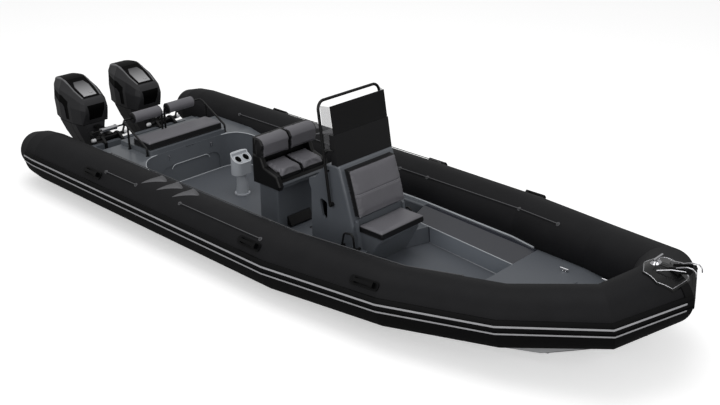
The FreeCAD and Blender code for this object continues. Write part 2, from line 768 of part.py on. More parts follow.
roller_x = stem_x + 255
roller_z = stem_z + bow_radius + 45
roller_half = 38.0
cheek_thick = 6.0
roller = rod(Vector(roller_x, -roller_half, roller_z), Vector(roller_x, roller_half, roller_z), 20)
roller = roller.cut(rod(Vector(roller_x, -12, roller_z), Vector(roller_x, 12, roller_z), 24)).fuse(
    rod(Vector(roller_x, -roller_half, roller_z), Vector(roller_x, roller_half, roller_z), 14))
cheek_side = [
    (roller_x - 190, roller_z - 36),
    (roller_x - 60, roller_z - 46),
    (roller_x + 10, roller_z - 30),
    (roller_x + 28, roller_z),
    (roller_x + 10, roller_z + 30),
    (roller_x - 30, roller_z + 22),
    (roller_x - 190, roller_z - 22),
]
cheek_middle = roller_half + 0.5 * cheek_thick
cheek_parts = [slab_xz(cheek_side, 0.5 * cheek_thick, side * cheek_middle) for side in (-1, 1)]
tray_side = [(roller_x - 190, roller_z - 42), (roller_x - 60, roller_z - 52),
             (roller_x - 60, roller_z - 46), (roller_x - 190, roller_z - 36)]
tray = slab_xz(tray_side, roller_half + cheek_thick)
axle = rod(Vector(roller_x, -52, roller_z), Vector(roller_x, 52, roller_z), 6)
roller_foot = box((stem_x - 30, stem_x + 150), (-32, 32), (stem_z + 150, roller_z - 36))
fairlead = roller.fuse(cheek_parts + [tray, axle, roller_foot]).cut(over_saddle[0]).cut(over_saddle[1])
keep("bow_roller", fairlead)

# ---------------------------------------------------------------- handles, lifelines, grip patches
handle_angle = 52.0
handle_half = 165.0
handle_wide = 45.0
handle_pad = 9.0
handle_gap = 34.0
handle_bar = 20.0
HANDLE_PLACES = (1180.0, 3910.0)
BOW_HANDLE_PLACE = 5350.0


def in_tube_frame(shape, x, degrees):
    """Sets a shape drawn about the X axis on the tube at x, turned outboard from the tube's top."""
    point, along, outboard, upward, radius = tube_frame(x)
    matrix = FreeCAD.Matrix(
        along.x, outboard.x, upward.x, point.x,
        along.y, outboard.y, upward.y, point.y,
        along.z, outboard.z, upward.z, point.z,
        0, 0, 0, 1,
    )
    turned = shape.copy()
    turned.Placement = Placement(matrix).multiply(Placement(Vector(), Rotation(Vector(1, 0, 0), -degrees)))
    return turned


def handle(x):
    radius = tube_frame(x)[4]
    pad = box((-handle_half, handle_half), (-handle_wide, handle_wide), (radius - 20, radius + handle_pad))
    pad = rounded_edges(pad, 0.8 * handle_wide, upright)
    bar_high = radius + handle_gap + handle_bar
    posts = [box((low * handle_half, high * handle_half), (-26, 26), (radius, bar_high - 4))
             for low, high in ((-0.75, -0.5), (0.5, 0.75))]
    bar = box((-0.75 * handle_half, 0.75 * handle_half), (-17, 17), (radius + handle_gap, bar_high))
    whole = pad.fuse(posts + [bar])
    return in_tube_frame(whole, x, handle_angle).cut(port_tube)


handle_set = Part.makeCompound([handle(x) for x in HANDLE_PLACES])
keep("tube_handles", pair(handle_set))
for name, shape in zip(("bow_handle_port", "bow_handle_starboard"), both_sides(handle(BOW_HANDLE_PLACE))):
    keep(name, shape)

line_radius = 5.0
line_lift = 14.0
patch_radius = 22.0
# Lifelines on each tube: degrees outboard of the tube's top, then the x of each point that is clipped down
LIFELINES = (
    (38.0, (1380.0, 1950.0)),
    (36.0, (2730.0, 4010.0)),
    (-44.0, (890.0, 1790.0, 3730.0, straight - 10.0, straight + 0.396 * reach, 6100.0)),
)
lines = []
for degrees, places in LIFELINES:
    parts = []
    for x in places:
        foot = over_tube(x, degrees, -10)
        parts.append(rod(foot, over_tube(x, degrees, 4), patch_radius))
        parts.append(rod(foot, over_tube(x, degrees, line_lift + line_radius + 2), 8.0))
    for low, high in zip(places, places[1:]):
        parts.append(rod(over_tube(low, degrees, line_lift), over_tube(high, degrees, line_lift), line_radius))
    lines.append(parts[0].fuse(parts[1:]).cut(port_tube))
keep("lifelines", pair(Part.makeCompound(lines)))

# Three-cornered grip patches beside the aft cockpit: degrees outboard of the top and x of each corner
GRIP_CORNERS = ((28.0, 2010.0), (-1.0, 2270.0), (-40.0, 1920.0))
GRIP_PITCH = 280.0
grip_depth = 3.0
grip_skin = tube_skin(grip_depth)
grips = []
for index in range(3):
    corners = [over_tube(x + index * GRIP_PITCH, degrees, 0) for degrees, x in GRIP_CORNERS]
    window = slab_xy([(corner.x, corner.y) for corner in corners], tube_height, tube_height + 2 * tube_radius)
    grips.append(grip_skin.common(window))
keep("grip_patches", pair(Part.makeCompound([grip.cut(lines) for grip in grips])))

# ---------------------------------------------------------------- steering console
console_half = size("console_half")
console_aft = size("console_aft")
console_fore = size("console_fore")
console_top = size("console_top")
console_wall = size("console_wall")
dash_low = 900.0
dash_lip = 30.0
knee_height = 520.0
brow_x = 4140.0
# Side view of the console, aft foot first and round by the front
CONSOLE = (
    (console_aft, sole),
    (console_fore, sole),
    (console_fore, knee_height),
    (0.5 * (console_fore + brow_x) - 6, 0.5 * (knee_height + console_top) + 30),
    (brow_x, console_top - 14),
    (brow_x - 40, console_top),
    (3960.0, console_top - 15),
    (3790.0, dash_low + 30),
    (console_aft - dash_lip, dash_low),
    (console_aft - dash_lip, dash_low - 60),
    (console_aft, dash_low - 120),
)
cavity_side = [
    (console_aft + console_wall, sole),
    (console_fore - console_wall, sole),
    (console_fore - console_wall, knee_height - 10),
    (brow_x - 1.2 * console_wall, console_top - 60),
    (3970.0, console_top - 60),
    (3800.0, dash_low - 10),
    (console_aft + console_wall, dash_low - 50),
]
console_block = slab_xz(CONSOLE, console_half)


def console_long_edge(edge):
    """The rounded outer edges of the console's front and shoulders."""
    ends = [v.Point for v in edge.Vertexes]
    outer = all(abs(abs(p.y) - console_half) < 1 for p in ends)
    return outer and all(p.x > console_aft + 60 and p.z > sole + 1 for p in ends)


console = rounded_edges(console_block, 26.0, console_long_edge)
console = console.cut(slab_xz(cavity_side, console_half - console_wall))
pocket_side = [(3850.0, 730.0), (3965.0, 690.0), (3965.0, 470.0), (3890.0, 520.0)]
pocket = slab_xz(pocket_side, console_wall, -console_half)
pocket = rounded_edges(pocket, 30.0, lambda edge: abs(edge.tangentAt(edge.FirstParameter).y) > 0.9)
console = console.cut(pocket)
# Locker door set into the aft side below the dash
door = box((console_aft - 1, console_aft + 5), (-280, 280), (sole + 90, dash_low - 170))
door_panel = box((console_aft + 1, console_aft + 8), (-274, 274), (sole + 96, dash_low - 176))
console = console.cut(door).fuse(door_panel)

wheel_lean = Vector(-0.80, 0, 0.60)
wheel_reach = 78.0
wheel_hub = Vector(3775.0, 60.0, dash_low + 5) + wheel_lean * wheel_reach
shaft_radius = 14.0
boss_radius = 46.0
boss = rod(wheel_hub - wheel_lean * wheel_reach, wheel_hub - wheel_lean * 30, boss_radius)
console = console.fuse(boss).cut(rod(wheel_hub - wheel_lean * 200, wheel_hub, shaft_radius + turn_fit))

seat_half = size("seat_half")
seat_low = size("seat_low")
seat_front = size("seat_front")
seat_base = slab_xz(
    [
        (console_fore - 5, sole),
        (seat_front - 245, sole),
        (seat_front - 75, seat_low - 70),
        (seat_front - 45, seat_low - 40),
        (seat_front - 45, seat_low),
        (console_fore - 5, seat_low),
    ],
    seat_half - 15,
)
seat_base = rounded_edges(seat_base, 60.0, lambda edge: upright(edge) and edge.Vertexes[0].Point.x > seat_front - 60)
shoulder = slab_xz([(console_fore - 5, sole), (console_fore + 90, sole), (console_fore + 20, knee_height + 40),
                    (console_fore - 5, knee_height + 60)], seat_half + 40)
shoulder = shoulder.cut(box((console_fore, console_fore + 300), (-seat_half - 6, seat_half + 6), (seat_low, 900)))
keep("console_body", console.fuse([seat_base, shoulder]))

cushion = profile_body(
    "console_seat_cushion",
    (
        ("Sizes.console_fore + 2", "Sizes.seat_low + Sizes.fit"),
        ("Sizes.seat_front", "Sizes.seat_low + Sizes.fit"),
        ("Sizes.seat_front - 8", "Sizes.seat_low + Sizes.seat_pad"),
        ("Sizes.console_fore + 2", "Sizes.seat_low + Sizes.seat_pad"),
    ),
    "Sizes.seat_half",
    "18",
    (2,),
)
keep_body(cushion)

front_low = (console_fore, knee_height)
front_mid = CONSOLE[3]
front_high = (brow_x, console_top - 14)


def console_front(z):
    """X of the console's leaning front at a height above the seat."""
    line = [(p[1], p[0]) for p in (front_low, front_mid, front_high)]
    return line_height(line, z)


back_low = 600.0
back_high = 1105.0
back_mid = front_mid[1]
back_thick = 84.0
backrest = slab_xz(
    [
        (console_front(back_low) - 20, back_low),
        (console_front(back_low) + back_thick - 8, back_low + 6),
        (front_mid[0] + back_thick, back_mid),
        (console_front(back_high) + back_thick - 12, back_high - 6),
        (console_front(back_high) - 20, back_high),
    ],
    seat_half + 20,
)
backrest = backrest.cut(console_block)
keep("console_backrest", backrest)

# Windscreen: a black lower panel with returns at its ends, and a tinted pane over it, leaning aft
screen_top = size("screen_top")
screen_thick = size("screen_thick")
band_top = size("screen_band_top")
screen_foot = size("screen_foot")
screen_slope = -size("screen_lean") / (screen_top - console_top)
return_depth = 75.0


def screen_x(z):
    return screen_foot + screen_slope * (z - console_top)


def screen_pane(low, high, half):
    return slab_xz(
        [
            (screen_x(low), low),
            (screen_x(low) + screen_thick, low),
            (screen_x(high) + screen_thick, high),
            (screen_x(high), high),
        ],
        half,
    )


band = screen_pane(console_top - 14, band_top, console_half)
for side in (-1, 1):
    wing = slab_xz(
        [
            (screen_x(console_top - 14) + 2, console_top - 14),
            (screen_x(band_top) + 2, band_top),
            (screen_x(band_top) - 0.6 * return_depth, band_top),
            (screen_x(console_top) - return_depth, console_top + 40),
            (screen_x(console_top) - return_depth, console_top - 14),
        ],
        0.5 * screen_thick,
        side * (console_half - 0.5 * screen_thick),
    )
    band = band.fuse(wing)
keep("screen_band", band.cut(console_block))
glass = profile_body(
    "screen_glass",
    (
        ("Sizes.screen_foot - Sizes.screen_lean * (Sizes.screen_band_top - Sizes.console_top)"
         " / (Sizes.screen_top - Sizes.console_top)", "Sizes.screen_band_top + Sizes.fit"),
        ("Sizes.screen_foot + Sizes.screen_thick - Sizes.screen_lean * (Sizes.screen_band_top"
         " - Sizes.console_top) / (Sizes.screen_top - Sizes.console_top)", "Sizes.screen_band_top + Sizes.fit"),
        ("Sizes.screen_foot + Sizes.screen_thick - Sizes.screen_lean", "Sizes.screen_top"),
        ("Sizes.screen_foot - Sizes.screen_lean", "Sizes.screen_top"),
    ),
    "Sizes.console_half - 12",
)
keep_body(glass)

# Tubular frame round the console with a bar over the windscreen
rail_radius = size("rail_radius")
rail_half = console_half + rail_radius + 24.0
rail_top = screen_top + 38.0
rail_foot = (4050.0, 700.0)
rail_head = 3880.0
rail_path = [
    Vector(rail_foot[0], -rail_half, rail_foot[1] - 10),
    Vector(rail_head, -rail_half, rail_top),
    Vector(rail_head, rail_half, rail_top),
    Vector(rail_foot[0], rail_half, rail_foot[1] - 10),
]
rail = bent_tube(rail_path, rail_radius, 90.0)


def rail_x(z):
    return rail_foot[0] + (rail_head - rail_foot[0]) * (z - rail_foot[1] + 10) / (rail_top - rail_foot[1] + 10)


stay_heights = (1060.0, 1290.0)
for side in (-1, 1):
    foot = Vector(rail_foot[0], side * (console_half - 2), rail_foot[1])
    rail = rail.fuse(rod(foot, Vector(rail_foot[0], side * (rail_half + 2), rail_foot[1]), 24.0))
    low_stay = Vector(rail_x(stay_heights[0]), side * (console_half - 2), stay_heights[0])
    rail = rail.fuse(rod(low_stay, Vector(low_stay.x, side * rail_half, low_stay.z), 11.0))
    # The upper stay holds the end of the screen's lower panel.
    edge = Vector(screen_x(stay_heights[1]) - 0.35 * return_depth, side * console_half, stay_heights[1])
    rail = rail.fuse(rod(edge, Vector(rail_x(stay_heights[1]), side * rail_half, stay_heights[1]), 9.0))
keep("console_rail", largest(rail.cut([console, band])))

# Wheel on its shaft
grip = size("wheel_grip")
rim_radius = size("wheel_radius")
hub_thick = 26.0
WHEEL_SPOKES = 3
rim = Part.makeTorus(rim_radius, grip)
rim = rim.fuse(Part.makeCylinder(38.0, hub_thick, Vector(0, 0, -18)))
for index in range(WHEEL_SPOKES):
    turn = math.radians(90 + 360 * index / WHEEL_SPOKES)
    outward = Vector(math.cos(turn), math.sin(turn), 0)
    rim = rim.fuse(rod(outward * 20 + Vector(0, 0, -4), outward * (rim_radius - 3), 9.0))
rim = rim.fuse(Part.makeCylinder(shaft_radius, 90.0, Vector(0, 0, -100)))
keep("steering_wheel", rim, Placement(wheel_hub, Rotation(Vector(0, 0, 1), wheel_lean)))

# Twin throttle on the dash
throttle_side = -200.0
quadrant_side = [(3800, 900), (3915, 1010), (3893, 1062), (3845, 1066), (3770, 985)]
quadrant = slab_xz(quadrant_side, 45.0, throttle_side)
quadrant = rounded_edges(quadrant, 10.0, lambda edge: abs(edge.tangentAt(edge.FirstParameter).y) < 0.1
                         and edge.Vertexes[0].Point.z > 980 and edge.Vertexes[1].Point.z > 980)
quadrant = largest(quadrant.cut(console))
lever_foot = (3830.0, 1020.0)
lever_head = (3770.0, 1150.0)
for side in (-1, 1):
    lever_y = throttle_side + side * 53
    hub_end = Vector(lever_foot[0], throttle_side + side * 64, lever_foot[1])
    quadrant = quadrant.fuse(rod(Vector(lever_foot[0], throttle_side, lever_foot[1]), hub_end, 22.0))
    quadrant = quadrant.fuse(rod(Vector(lever_foot[0], lever_y, lever_foot[1]),
                                 Vector(lever_head[0], lever_y, lever_head[1]), 8.0))
    grip_start = Vector(lever_head[0], throttle_side + side * 22, lever_head[1])
    quadrant = quadrant.fuse(rod(grip_start, Vector(lever_head[0], throttle_side + side * 66, lever_head[1]), 14.0))
keep("throttle_box", quadrant)

# Grab hoops beside the console's front seat
hoop_radius = 11.0
hoop_stand = 42.0
# Side view of a hoop: x, z
HOOP = ((4215.0, 285.0), (4250.0, 445.0), (4375.0, 465.0), (4400.0, 285.0))
hoops = []
for side in (-1, 1):
    y = side * (console_half + hoop_stand)
    arch = bent_tube([Vector(x, y, z) for x, z in HOOP], hoop_radius, 45.0)
    for x, z in (HOOP[0], HOOP[-1]):
        inner = min(console_half, seat_half + 40) - 1 if x > console_fore else console_half - 1
        arch = arch.fuse(rod(Vector(x, side * inner, z), Vector(x, y + side * 2, z), 16.0))
    hoops.append(arch.cut([console, shoulder]))
keep("grab_hoops", Part.makeCompound(hoops))

# ---------------------------------------------------------------- helm seat
helm_front = size("helm_front")
helm_depth = size("helm_depth")
helm_half = size("helm_half")
helm_top = size("helm_top")
helm_aft = helm_front - helm_depth
helm_wall = 30.0
helm_round = 70.0
helm_base = slab_xz(
    [(helm_aft, sole), (helm_front, sole), (helm_front, helm_top), (helm_aft, helm_top)],
    helm_half,
)
helm_base = rounded_edges(
    helm_base, helm_round,
    lambda edge: abs(edge.tangentAt(edge.FirstParameter).y) > 0.9
    and edge.Vertexes[0].Point.x < helm_aft + 1 and edge.Vertexes[0].Point.z > sole + 1,
)
helm_base = rounded_edges(helm_base, 22.0, lambda edge: upright(edge) and edge.Vertexes[0].Point.x > helm_front - 1)
helm_space = box((helm_aft + helm_wall, helm_front - helm_wall), (helm_wall - helm_half, helm_half - helm_wall),
                 (sole, helm_top - helm_wall))
helm_base = helm_base.cut(helm_space)
# A raised border round each side, with its upper corner rounded
side_panel = slab_xz([(helm_aft - 1, sole + 30), (helm_front - 62, sole + 30), (helm_front - 62, helm_top - 42),
                      (helm_aft - 1, helm_top - 42)], helm_half + 20)
side_panel = rounded_edges(side_panel, 150.0, lambda edge: abs(edge.tangentAt(edge.FirstParameter).y) > 0.9
                           and edge.Vertexes[0].Point.x > helm_aft and edge.Vertexes[0].Point.z > helm_top - 60)
panel_depth = 7.0
for side in (-1, 1):
    shift = side * (2 * helm_half + 20 - panel_depth)
    side_cut = side_panel.copy()
    side_cut.translate(Vector(0, shift, 0))
    helm_base = helm_base.cut(side_cut)
keep("helm_seat_base", helm_base)

footrest = profile_body(
    "helm_footrest",
    (
        ("Sizes.helm_front + Sizes.fit", "Sizes.sole_height + 20"),
        ("Sizes.helm_front + 62", "Sizes.sole_height + 12"),
        ("Sizes.helm_front + 74", "Sizes.sole_height + 24"),
        ("Sizes.helm_front + 12", "Sizes.sole_height + 122"),
        ("Sizes.helm_front + Sizes.fit", "Sizes.sole_height + 122"),
    ),
    "Sizes.footrest_half",
)
keep_body(footrest)

shell_half = size("helm_shell_half")
pad_half = size("helm_pad_half")
back_half = size("helm_back_half")
bucket_thick = shell_half - pad_half - 4.0
pan_fore = helm_front + 104.0
pan_front_top = helm_top + 102.0
pan_aft_top = helm_top + 124.0
pan_aft = helm_front - 225.0
back_foot = helm_top + 300.0
back_head = helm_top + 520.0
pan = slab_xz([(helm_aft + 6, helm_top + gap), (pan_fore, helm_top + gap), (pan_fore + 14, helm_top + 45),
               (pan_fore - 10, pan_front_top), (pan_aft, pan_aft_top), (helm_aft + 6, pan_aft_top)], shell_half - 4)
spine = slab_xz([(helm_aft + 6, pan_aft_top - 2), (pan_aft, pan_aft_top - 2), (pan_aft - 12, back_head),
                 (helm_aft - 18, back_head), (helm_aft - 24, back_foot)], shell_half - 30)
# Side of the bucket: a wing that drops forward past the pan
wing_side = [
    (helm_aft - 6, helm_top + 60),
    (helm_aft + 60, helm_top - 2),
    (pan_fore + 10, helm_top - 12),
    (pan_fore + 34, helm_top + 40),
    (pan_fore - 20, helm_top + 150),
    (helm_front - 120, helm_top + 210),
    (helm_front - 175, helm_top + 330),
    (helm_aft - 10, helm_top + 330),
]
bucket = [pan, spine]
for side in (-1, 1):
    wing = slab_xz(wing_side, 0.5 * bucket_thick, side * (shell_half - 0.5 * bucket_thick))
    wing = rounded_edges(wing, 22.0, lambda edge: abs(abs(edge.Vertexes[0].Point.y) - shell_half) < 1
                         and abs(abs(edge.Vertexes[1].Point.y) - shell_half) < 1)
    bucket.append(wing)
shell = bucket[0].fuse(bucket[1:])
shell = shell.cut(box((helm_aft - 1, helm_front + gap), (-helm_half - gap, helm_half + gap), (0, helm_top + gap)))
keep("helm_seat_shell", shell)

half_pad = 0.5 * pad_half - 3.0
half_back = 0.5 * back_half - 3.0
seat_pads = []
back_pads = []
seat_side = [(pan_aft + 8, helm_top + 90), (pan_fore - 10, helm_top + 90), (pan_fore - 4, pan_front_top + 30),
             (pan_fore - 44, pan_front_top + 92), (pan_aft + 8, helm_top + 236)]
back_side = [(pan_aft - 4, back_foot + 22), (helm_front - 112, back_foot + 16), (helm_front - 104, back_head - 40),
             (helm_front - 150, back_head + 16), (helm_aft + 18, back_head + 22), (pan_aft - 14, back_head - 10)]
for side in (-1, 1):
    pad = slab_xz(seat_side, half_pad, side * 0.5 * pad_half)
    back = slab_xz(back_side, half_back, side * 0.5 * back_half)
    seat_pads.append(pad.cut(shell))
    back_pads.append(back.cut(shell))
keep("helm_cushions", Part.makeCompound(seat_pads))
keep("helm_backrests", Part.makeCompound(back_pads))

# ---------------------------------------------------------------- twin cup holder on its pedestal
pod_x = size("pod_place")
pod_y = size("pod_side")
cup_radius = size("cup_radius")
cup_apart = 60.0
head_half = 130.0
head_deep = 85.0
head_low = sole + 270.0
head_high = sole + 530.0
pedestal = Part.makeCone(78.0, 58.0, 300.0, Vector(pod_x, pod_y, sole))
pedestal = pedestal.fuse(Part.makeCylinder(96.0, 14.0, Vector(pod_x, pod_y, sole)))
head = box((pod_x - head_deep, pod_x + head_deep), (pod_y - head_half, pod_y + head_half), (head_low, head_high))
head = rounded_edges(head, 72.0, upright)
# The head's top falls towards the bow, under a rim along its aft edge.
slope = slab_xz([(pod_x - 40, head_high + 1), (pod_x - 32, head_high - 30), (pod_x + head_deep + 1, head_high - 105),
                 (pod_x + head_deep + 1, head_high + 1)], head_half + 5, pod_y)
head = head.cut(slope)
for side in (-1, 1):
    spot = Vector(pod_x + 20, pod_y + side * cup_apart, head_high - 180)
    head = head.cut(Part.makeCylinder(cup_radius, 200.0, spot))
keep("cup_pedestal", pedestal.fuse(head))

# ---------------------------------------------------------------- stern bench
bench_cushion = profile_body(
    "bench_cushion",
    (
        ("Sizes.lid_aft + 22", "Sizes.bench_deck + Sizes.lid_thick + Sizes.fit"),
        ("Sizes.bench_face - 44", "Sizes.bench_deck + Sizes.lid_thick + Sizes.fit"),
        ("Sizes.bench_face - 50", "Sizes.bench_deck + Sizes.lid_thick + Sizes.bench_pad"),
        ("Sizes.lid_aft + 26", "Sizes.bench_deck + Sizes.lid_thick + Sizes.bench_pad"),
    ),
    "Sizes.bench_half - 14",
    "22",
    (2, 3),
)
keep_body(bench_cushion)

frame_half = bench_half + 22.0
post_radius = size("post_radius")
bolster_radius = size("bolster_radius")
bolster_x = size("bolster_place")
bolster_z = size("bolster_height")
arm_foot = bench_face - 50.0
bolster_start = 50.0
bolster_end = 475.0
foot_radius = 26.0
foot_thick = 6.0
arm_parts = []
for side in (-1, 1):
    arm = bent_tube(
        [
            Vector(arm_foot, side * frame_half, bench_deck),
            Vector(arm_foot, side * frame_half, bench_deck + 95),
            Vector(bolster_x, side * frame_half, bolster_z),
            Vector(bolster_x, side * 20, bolster_z),
        ],
        post_radius,
        45.0,
    )
    # Feet of the frame: x, y, height of the deck under each, height that its post reaches
    feet = (
        (arm_foot, side * frame_half, bench_deck, bench_deck + 40),
        (lid_aft, side * frame_half, bench_deck, bolster_z - 42),
        (bolster_x, side * 24, bench_deck + lid_thick, bolster_z),
    )
    for x, y, low, high in feet:
        arm = arm.fuse(rod(Vector(x, y, low), Vector(x, y, high), post_radius))
        arm = arm.fuse(rod(Vector(x, y, low), Vector(x, y, low + foot_thick), foot_radius - 4))
    arm_parts.append(arm)
keep("bench_frame", Part.makeCompound(arm_parts))

rolls = []
for side in (-1, 1):
    start = Vector(bolster_x, side * bolster_start, bolster_z)
    end = Vector(bolster_x, side * bolster_end, bolster_z)
    roll = rod(start, end, bolster_radius)
    roll = rounded_edges(roll, 14.0, lambda edge: edge.Length > 200 and len(edge.Vertexes) == 1)
    bore = rod(Vector(bolster_x, side * 40, bolster_z), Vector(bolster_x, side * 490, bolster_z), post_radius + gap)
    rolls.append(roll.cut(bore))
keep("bench_bolsters", Part.makeCompound(rolls))

# ---------------------------------------------------------------- chrome deck fittings
eye_hole = size("eye_hole")
eye_thick = size("eye_thick")
fittings = []


def deck_cleat(x, y, z, half, stand):
    """A low horn cleat along X: two posts on a base, under one bar."""
    base = box((x - 0.55 * half, x + 0.55 * half), (y - 14, y + 14), (z - 12, z + 5))
    posts = [rod(Vector(x + share * half, y, z), Vector(x + share * half, y, z + stand), 8.0) for share in (-0.35, 0.35)]
    horn = rod(Vector(x - half, y, z + stand), Vector(x + half, y, z + stand), 9.0)
    return base.fuse(posts + [horn])


def below_deck_line(x0, x1):
    side_view = raised(deck_line, x0, x1, 0.0) + [(x1, 0.0), (x0, 0.0)]
    return slab_xz(side_view, 1000.0)


# Lashing eyes on the bow deck: x, distance from the centreline
DECK_EYES = ((6350.0, 445.0), (6820.0, 425.0))
for x, y in DECK_EYES:
    height = line_height(deck_line, x)
    eye = deck_cleat(x, y, height + 2, 46.0, 24.0).cut(below_deck_line(x - 100, x + 100))
    fittings += [eye, mirrored(eye)]

plate_cleat = deck_cleat(stem_x - 60, 0.0, stem_z + bow_radius + 10, 78.0, 44.0)
plate_cleat.rotate(Vector(stem_x - 60, 0, 0), Vector(0, 0, 1), 90)
fittings.append(plate_cleat.cut(over_saddle[0]).cut(over_saddle[1]))

# Latches on the bench's face
LATCHES = (-332.0, 332.0)
latch_z = bench_deck - 82.0
for y in LATCHES:
    latch = box((bench_face, bench_face + 5), (y - 17, y + 17), (latch_z - 30, latch_z + 30))
    latch = latch.fuse(rod(Vector(bench_face + 9, y, latch_z - 16), Vector(bench_face + 9, y, latch_z + 22), 6.0))
    fittings.append(latch)


def towing_eye(reach_out):
    """A welded plate eye in the XZ plane; its root is at x = 0 and it points aft."""
    plate = slab_xz([(0, -45), (-reach_out, -16), (-reach_out - 14, 0), (-reach_out, 16), (0, 45)], 0.5 * eye_thick)
    ring = rod(Vector(-reach_out, -0.5 * eye_thick, 0), Vector(-reach_out, 0.5 * eye_thick, 0), eye_hole + 13)
    hole = rod(Vector(-reach_out, -eye_thick, 0), Vector(-reach_out, eye_thick, 0), eye_hole)
    return plate.fuse(ring).cut(hole)


stern_eye_side = 725.0
stern_eye_z = 230.0
eye_reach = 38.0
stern_eye = towing_eye(eye_reach).fuse(box((-6, 0), (-28, 28), (-58, 58)))
stern_eye.rotate(Vector(0, 0, 0), Vector(1, 0, 0), 90)
stern_eye.translate(Vector(0, stern_eye_side, stern_eye_z))
fittings += [stern_eye, mirrored(stern_eye)]
bow_eye_x = straight + HULL_STATIONS[-1][0] * reach
bow_eye_z = 360.0
bow_eye = towing_eye(eye_reach)
bow_eye.rotate(Vector(0, 0, 0), Vector(0, 1, 0), 180)
bow_eye = bow_eye.fuse(box((-20, 2), (-0.5 * eye_thick, 0.5 * eye_thick), (-45, 45)))
bow_eye.translate(Vector(bow_eye_x, 0, bow_eye_z))
fittings.append(max(bow_eye.cut(hull).Solids, key=lambda solid: solid.BoundBox.XMax))
keep("deck_fittings", Part.makeCompound(fittings))

# ---------------------------------------------------------------- outboard engines
# Each engine is drawn on the centreline and then set at its offset from it.
tilt_height = size("tilt_height")
tilt_x = -22.0
swivel_x = -175.0
cowl_half = size("cowl_half")


def ring_section(z, fore, aft, half, nose, tail_half):
    """An eight-cornered level outline: half breadths at nose, middle and tail."""
    length = fore - aft
    outline = [
        (fore, nose),
        (fore - 0.16 * length, half),
        (aft + 0.30 * length, half),
        (aft, tail_half),
    ]
    points = [Vector(x, y, z) for x, y in outline] + [Vector(x, -y, z) for x, y in reversed(outline)]
    return Part.makePolygon(points + [points[0]])


def stack(rows):
    return Part.makeLoft([ring_section(*row) for row in rows], True, True)


split_z = 560.0
# Upper cowl, cross sections along X: x, and as shares of the cowl's half breadth the
# half breadths at the split, waist, shoulder and roof; then heights of waist, shoulder and roof
UPPER_COWL = (
    (-1120.0, 0.36, 0.40, 0.34, 0.22, 780.0, 946.0, 1010.0),
    (-1000.0, 0.62, 0.68, 0.60, 0.42, 790.0, 966.0, 1076.0),
    (-760.0, 0.93, 1.00, 0.90, 0.62, 800.0, 975.0, 1112.0),
    (-500.0, 0.94, 1.00, 0.90, 0.64, 790.0, 930.0, 1020.0),
    (-330.0, 0.78, 0.84, 0.76, 0.56, 770.0, 862.0, 915.0),
    (-250.0, 0.62, 0.66, 0.60, 0.46, 760.0, 832.0, 880.0),
)
# Side view of the cowl: straight runs and arcs, each arc by its middle and end
COWL_SIDE = (
    ("line", (-1003.0, split_z + gap)),
    ("arc", (-1012.0, 800.0), (-1100.0, 968.0)),
    ("line", (-1064.0, 1040.0)),
    ("arc", (-900.0, 1092.0), (-700.0, 1084.0)),
    ("line", (-312.0, 892.0)),
    ("arc", (-264.0, 800.0), (-280.0, 680.0)),
    ("line", (-330.0, split_z + gap)),
)
# Level sections of the lower cowl and the leg: z, fore end, aft end, half breadth, nose half, tail half
LOWER_COWL = (
    (140.0, -330.0, -785.0, 76.0, 52.0, 34.0),
    (280.0, -330.0, -905.0, 122.0, 82.0, 52.0),
    (400.0, -318.0, -960.0, 176.0, 112.0, 76.0),
    (split_z, -330.0, -1003.0, 229.0, 150.0, 92.0),
)
plate_z = -size("plate_depth")
prop_z = -size("prop_depth")
LEG = (
    (plate_z + 5, -330.0, -640.0, 42.0, 18.0, 14.0),
    (60.0, -330.0, -700.0, 60.0, 40.0, 28.0),
    (139.5, -332.0, -745.0, 70.0, 48.0, 30.0),
)


def cowl_loft(rows, inward=0.0):
    sections = []
    for x, split, waist, shoulder, roof, waist_z, shoulder_z, roof_z in rows:
        half = ((split, split_z - 20), (waist, waist_z), (shoulder, shoulder_z), (roof, roof_z))
        points = [Vector(x, share * cowl_half - inward, z) for share, z in half]
        points += [Vector(x, -p.y, p.z) for p in reversed(points)]
        sections.append(Part.makePolygon(points + [points[0]]))
    return Part.makeLoft(sections, True, True)


def cowl_side(half):
    edges = []
    start = Vector(COWL_SIDE[0][1][0], -half, COWL_SIDE[0][1][1])
    last = start
    for step in COWL_SIDE[1:]:
        spots = [Vector(x, -half, z) for x, z in step[1:]]
        if step[0] == "arc":
            edges.append(Part.Arc(last, spots[0], spots[1]).toShape())
        else:
            edges.append(Part.makeLine(last, spots[0]))
        last = spots[-1]
    edges.append(Part.makeLine(last, start))
    return Part.Face(Part.Wire(edges)).extrude(Vector(0, 2 * half, 0))


recess_depth = 16.0
insert_depth = 6.0
wide_half = cowl_half + 60.0
cowl_body = cowl_loft(UPPER_COWL).common(cowl_side(wide_half))
cowl_back = cowl_loft(UPPER_COWL, recess_depth)
cowl_insert = cowl_loft(UPPER_COWL, insert_depth).common(cowl_side(wide_half))
# Side view of the dark recess in each side of the cowl
SIDE_RECESS = ((-1060.0, 930.0), (-700.0, 905.0), (-640.0, 880.0), (-560.0, 850.0), (-560.0, 600.0),
               (-640.0, 600.0), (-650.0, 760.0), (-700.0, 800.0), (-1020.0, 840.0))
side_window = slab_xz(SIDE_RECESS, wide_half)
# Front view of the dark recess below the cowl's nose
front_outline = [(-132.0, 828.0), (-96.0, 620.0), (96.0, 620.0), (132.0, 828.0)]
front_window = slab_yz(front_outline, -420.0, -200.0)
front_back = -322.0
# Plan of the cap over the cowl's roof and of the window in it
CAP_PLAN = ((-1100.0, 46.0), (-1000.0, 92.0), (-760.0, 140.0), (-500.0, 144.0), (-345.0, 122.0))
WINDOW_PLAN = ((-640.0, 78.0), (-560.0, 112.0), (-372.0, 96.0))
cap_thick = 22.0
cap_proud = 5.0


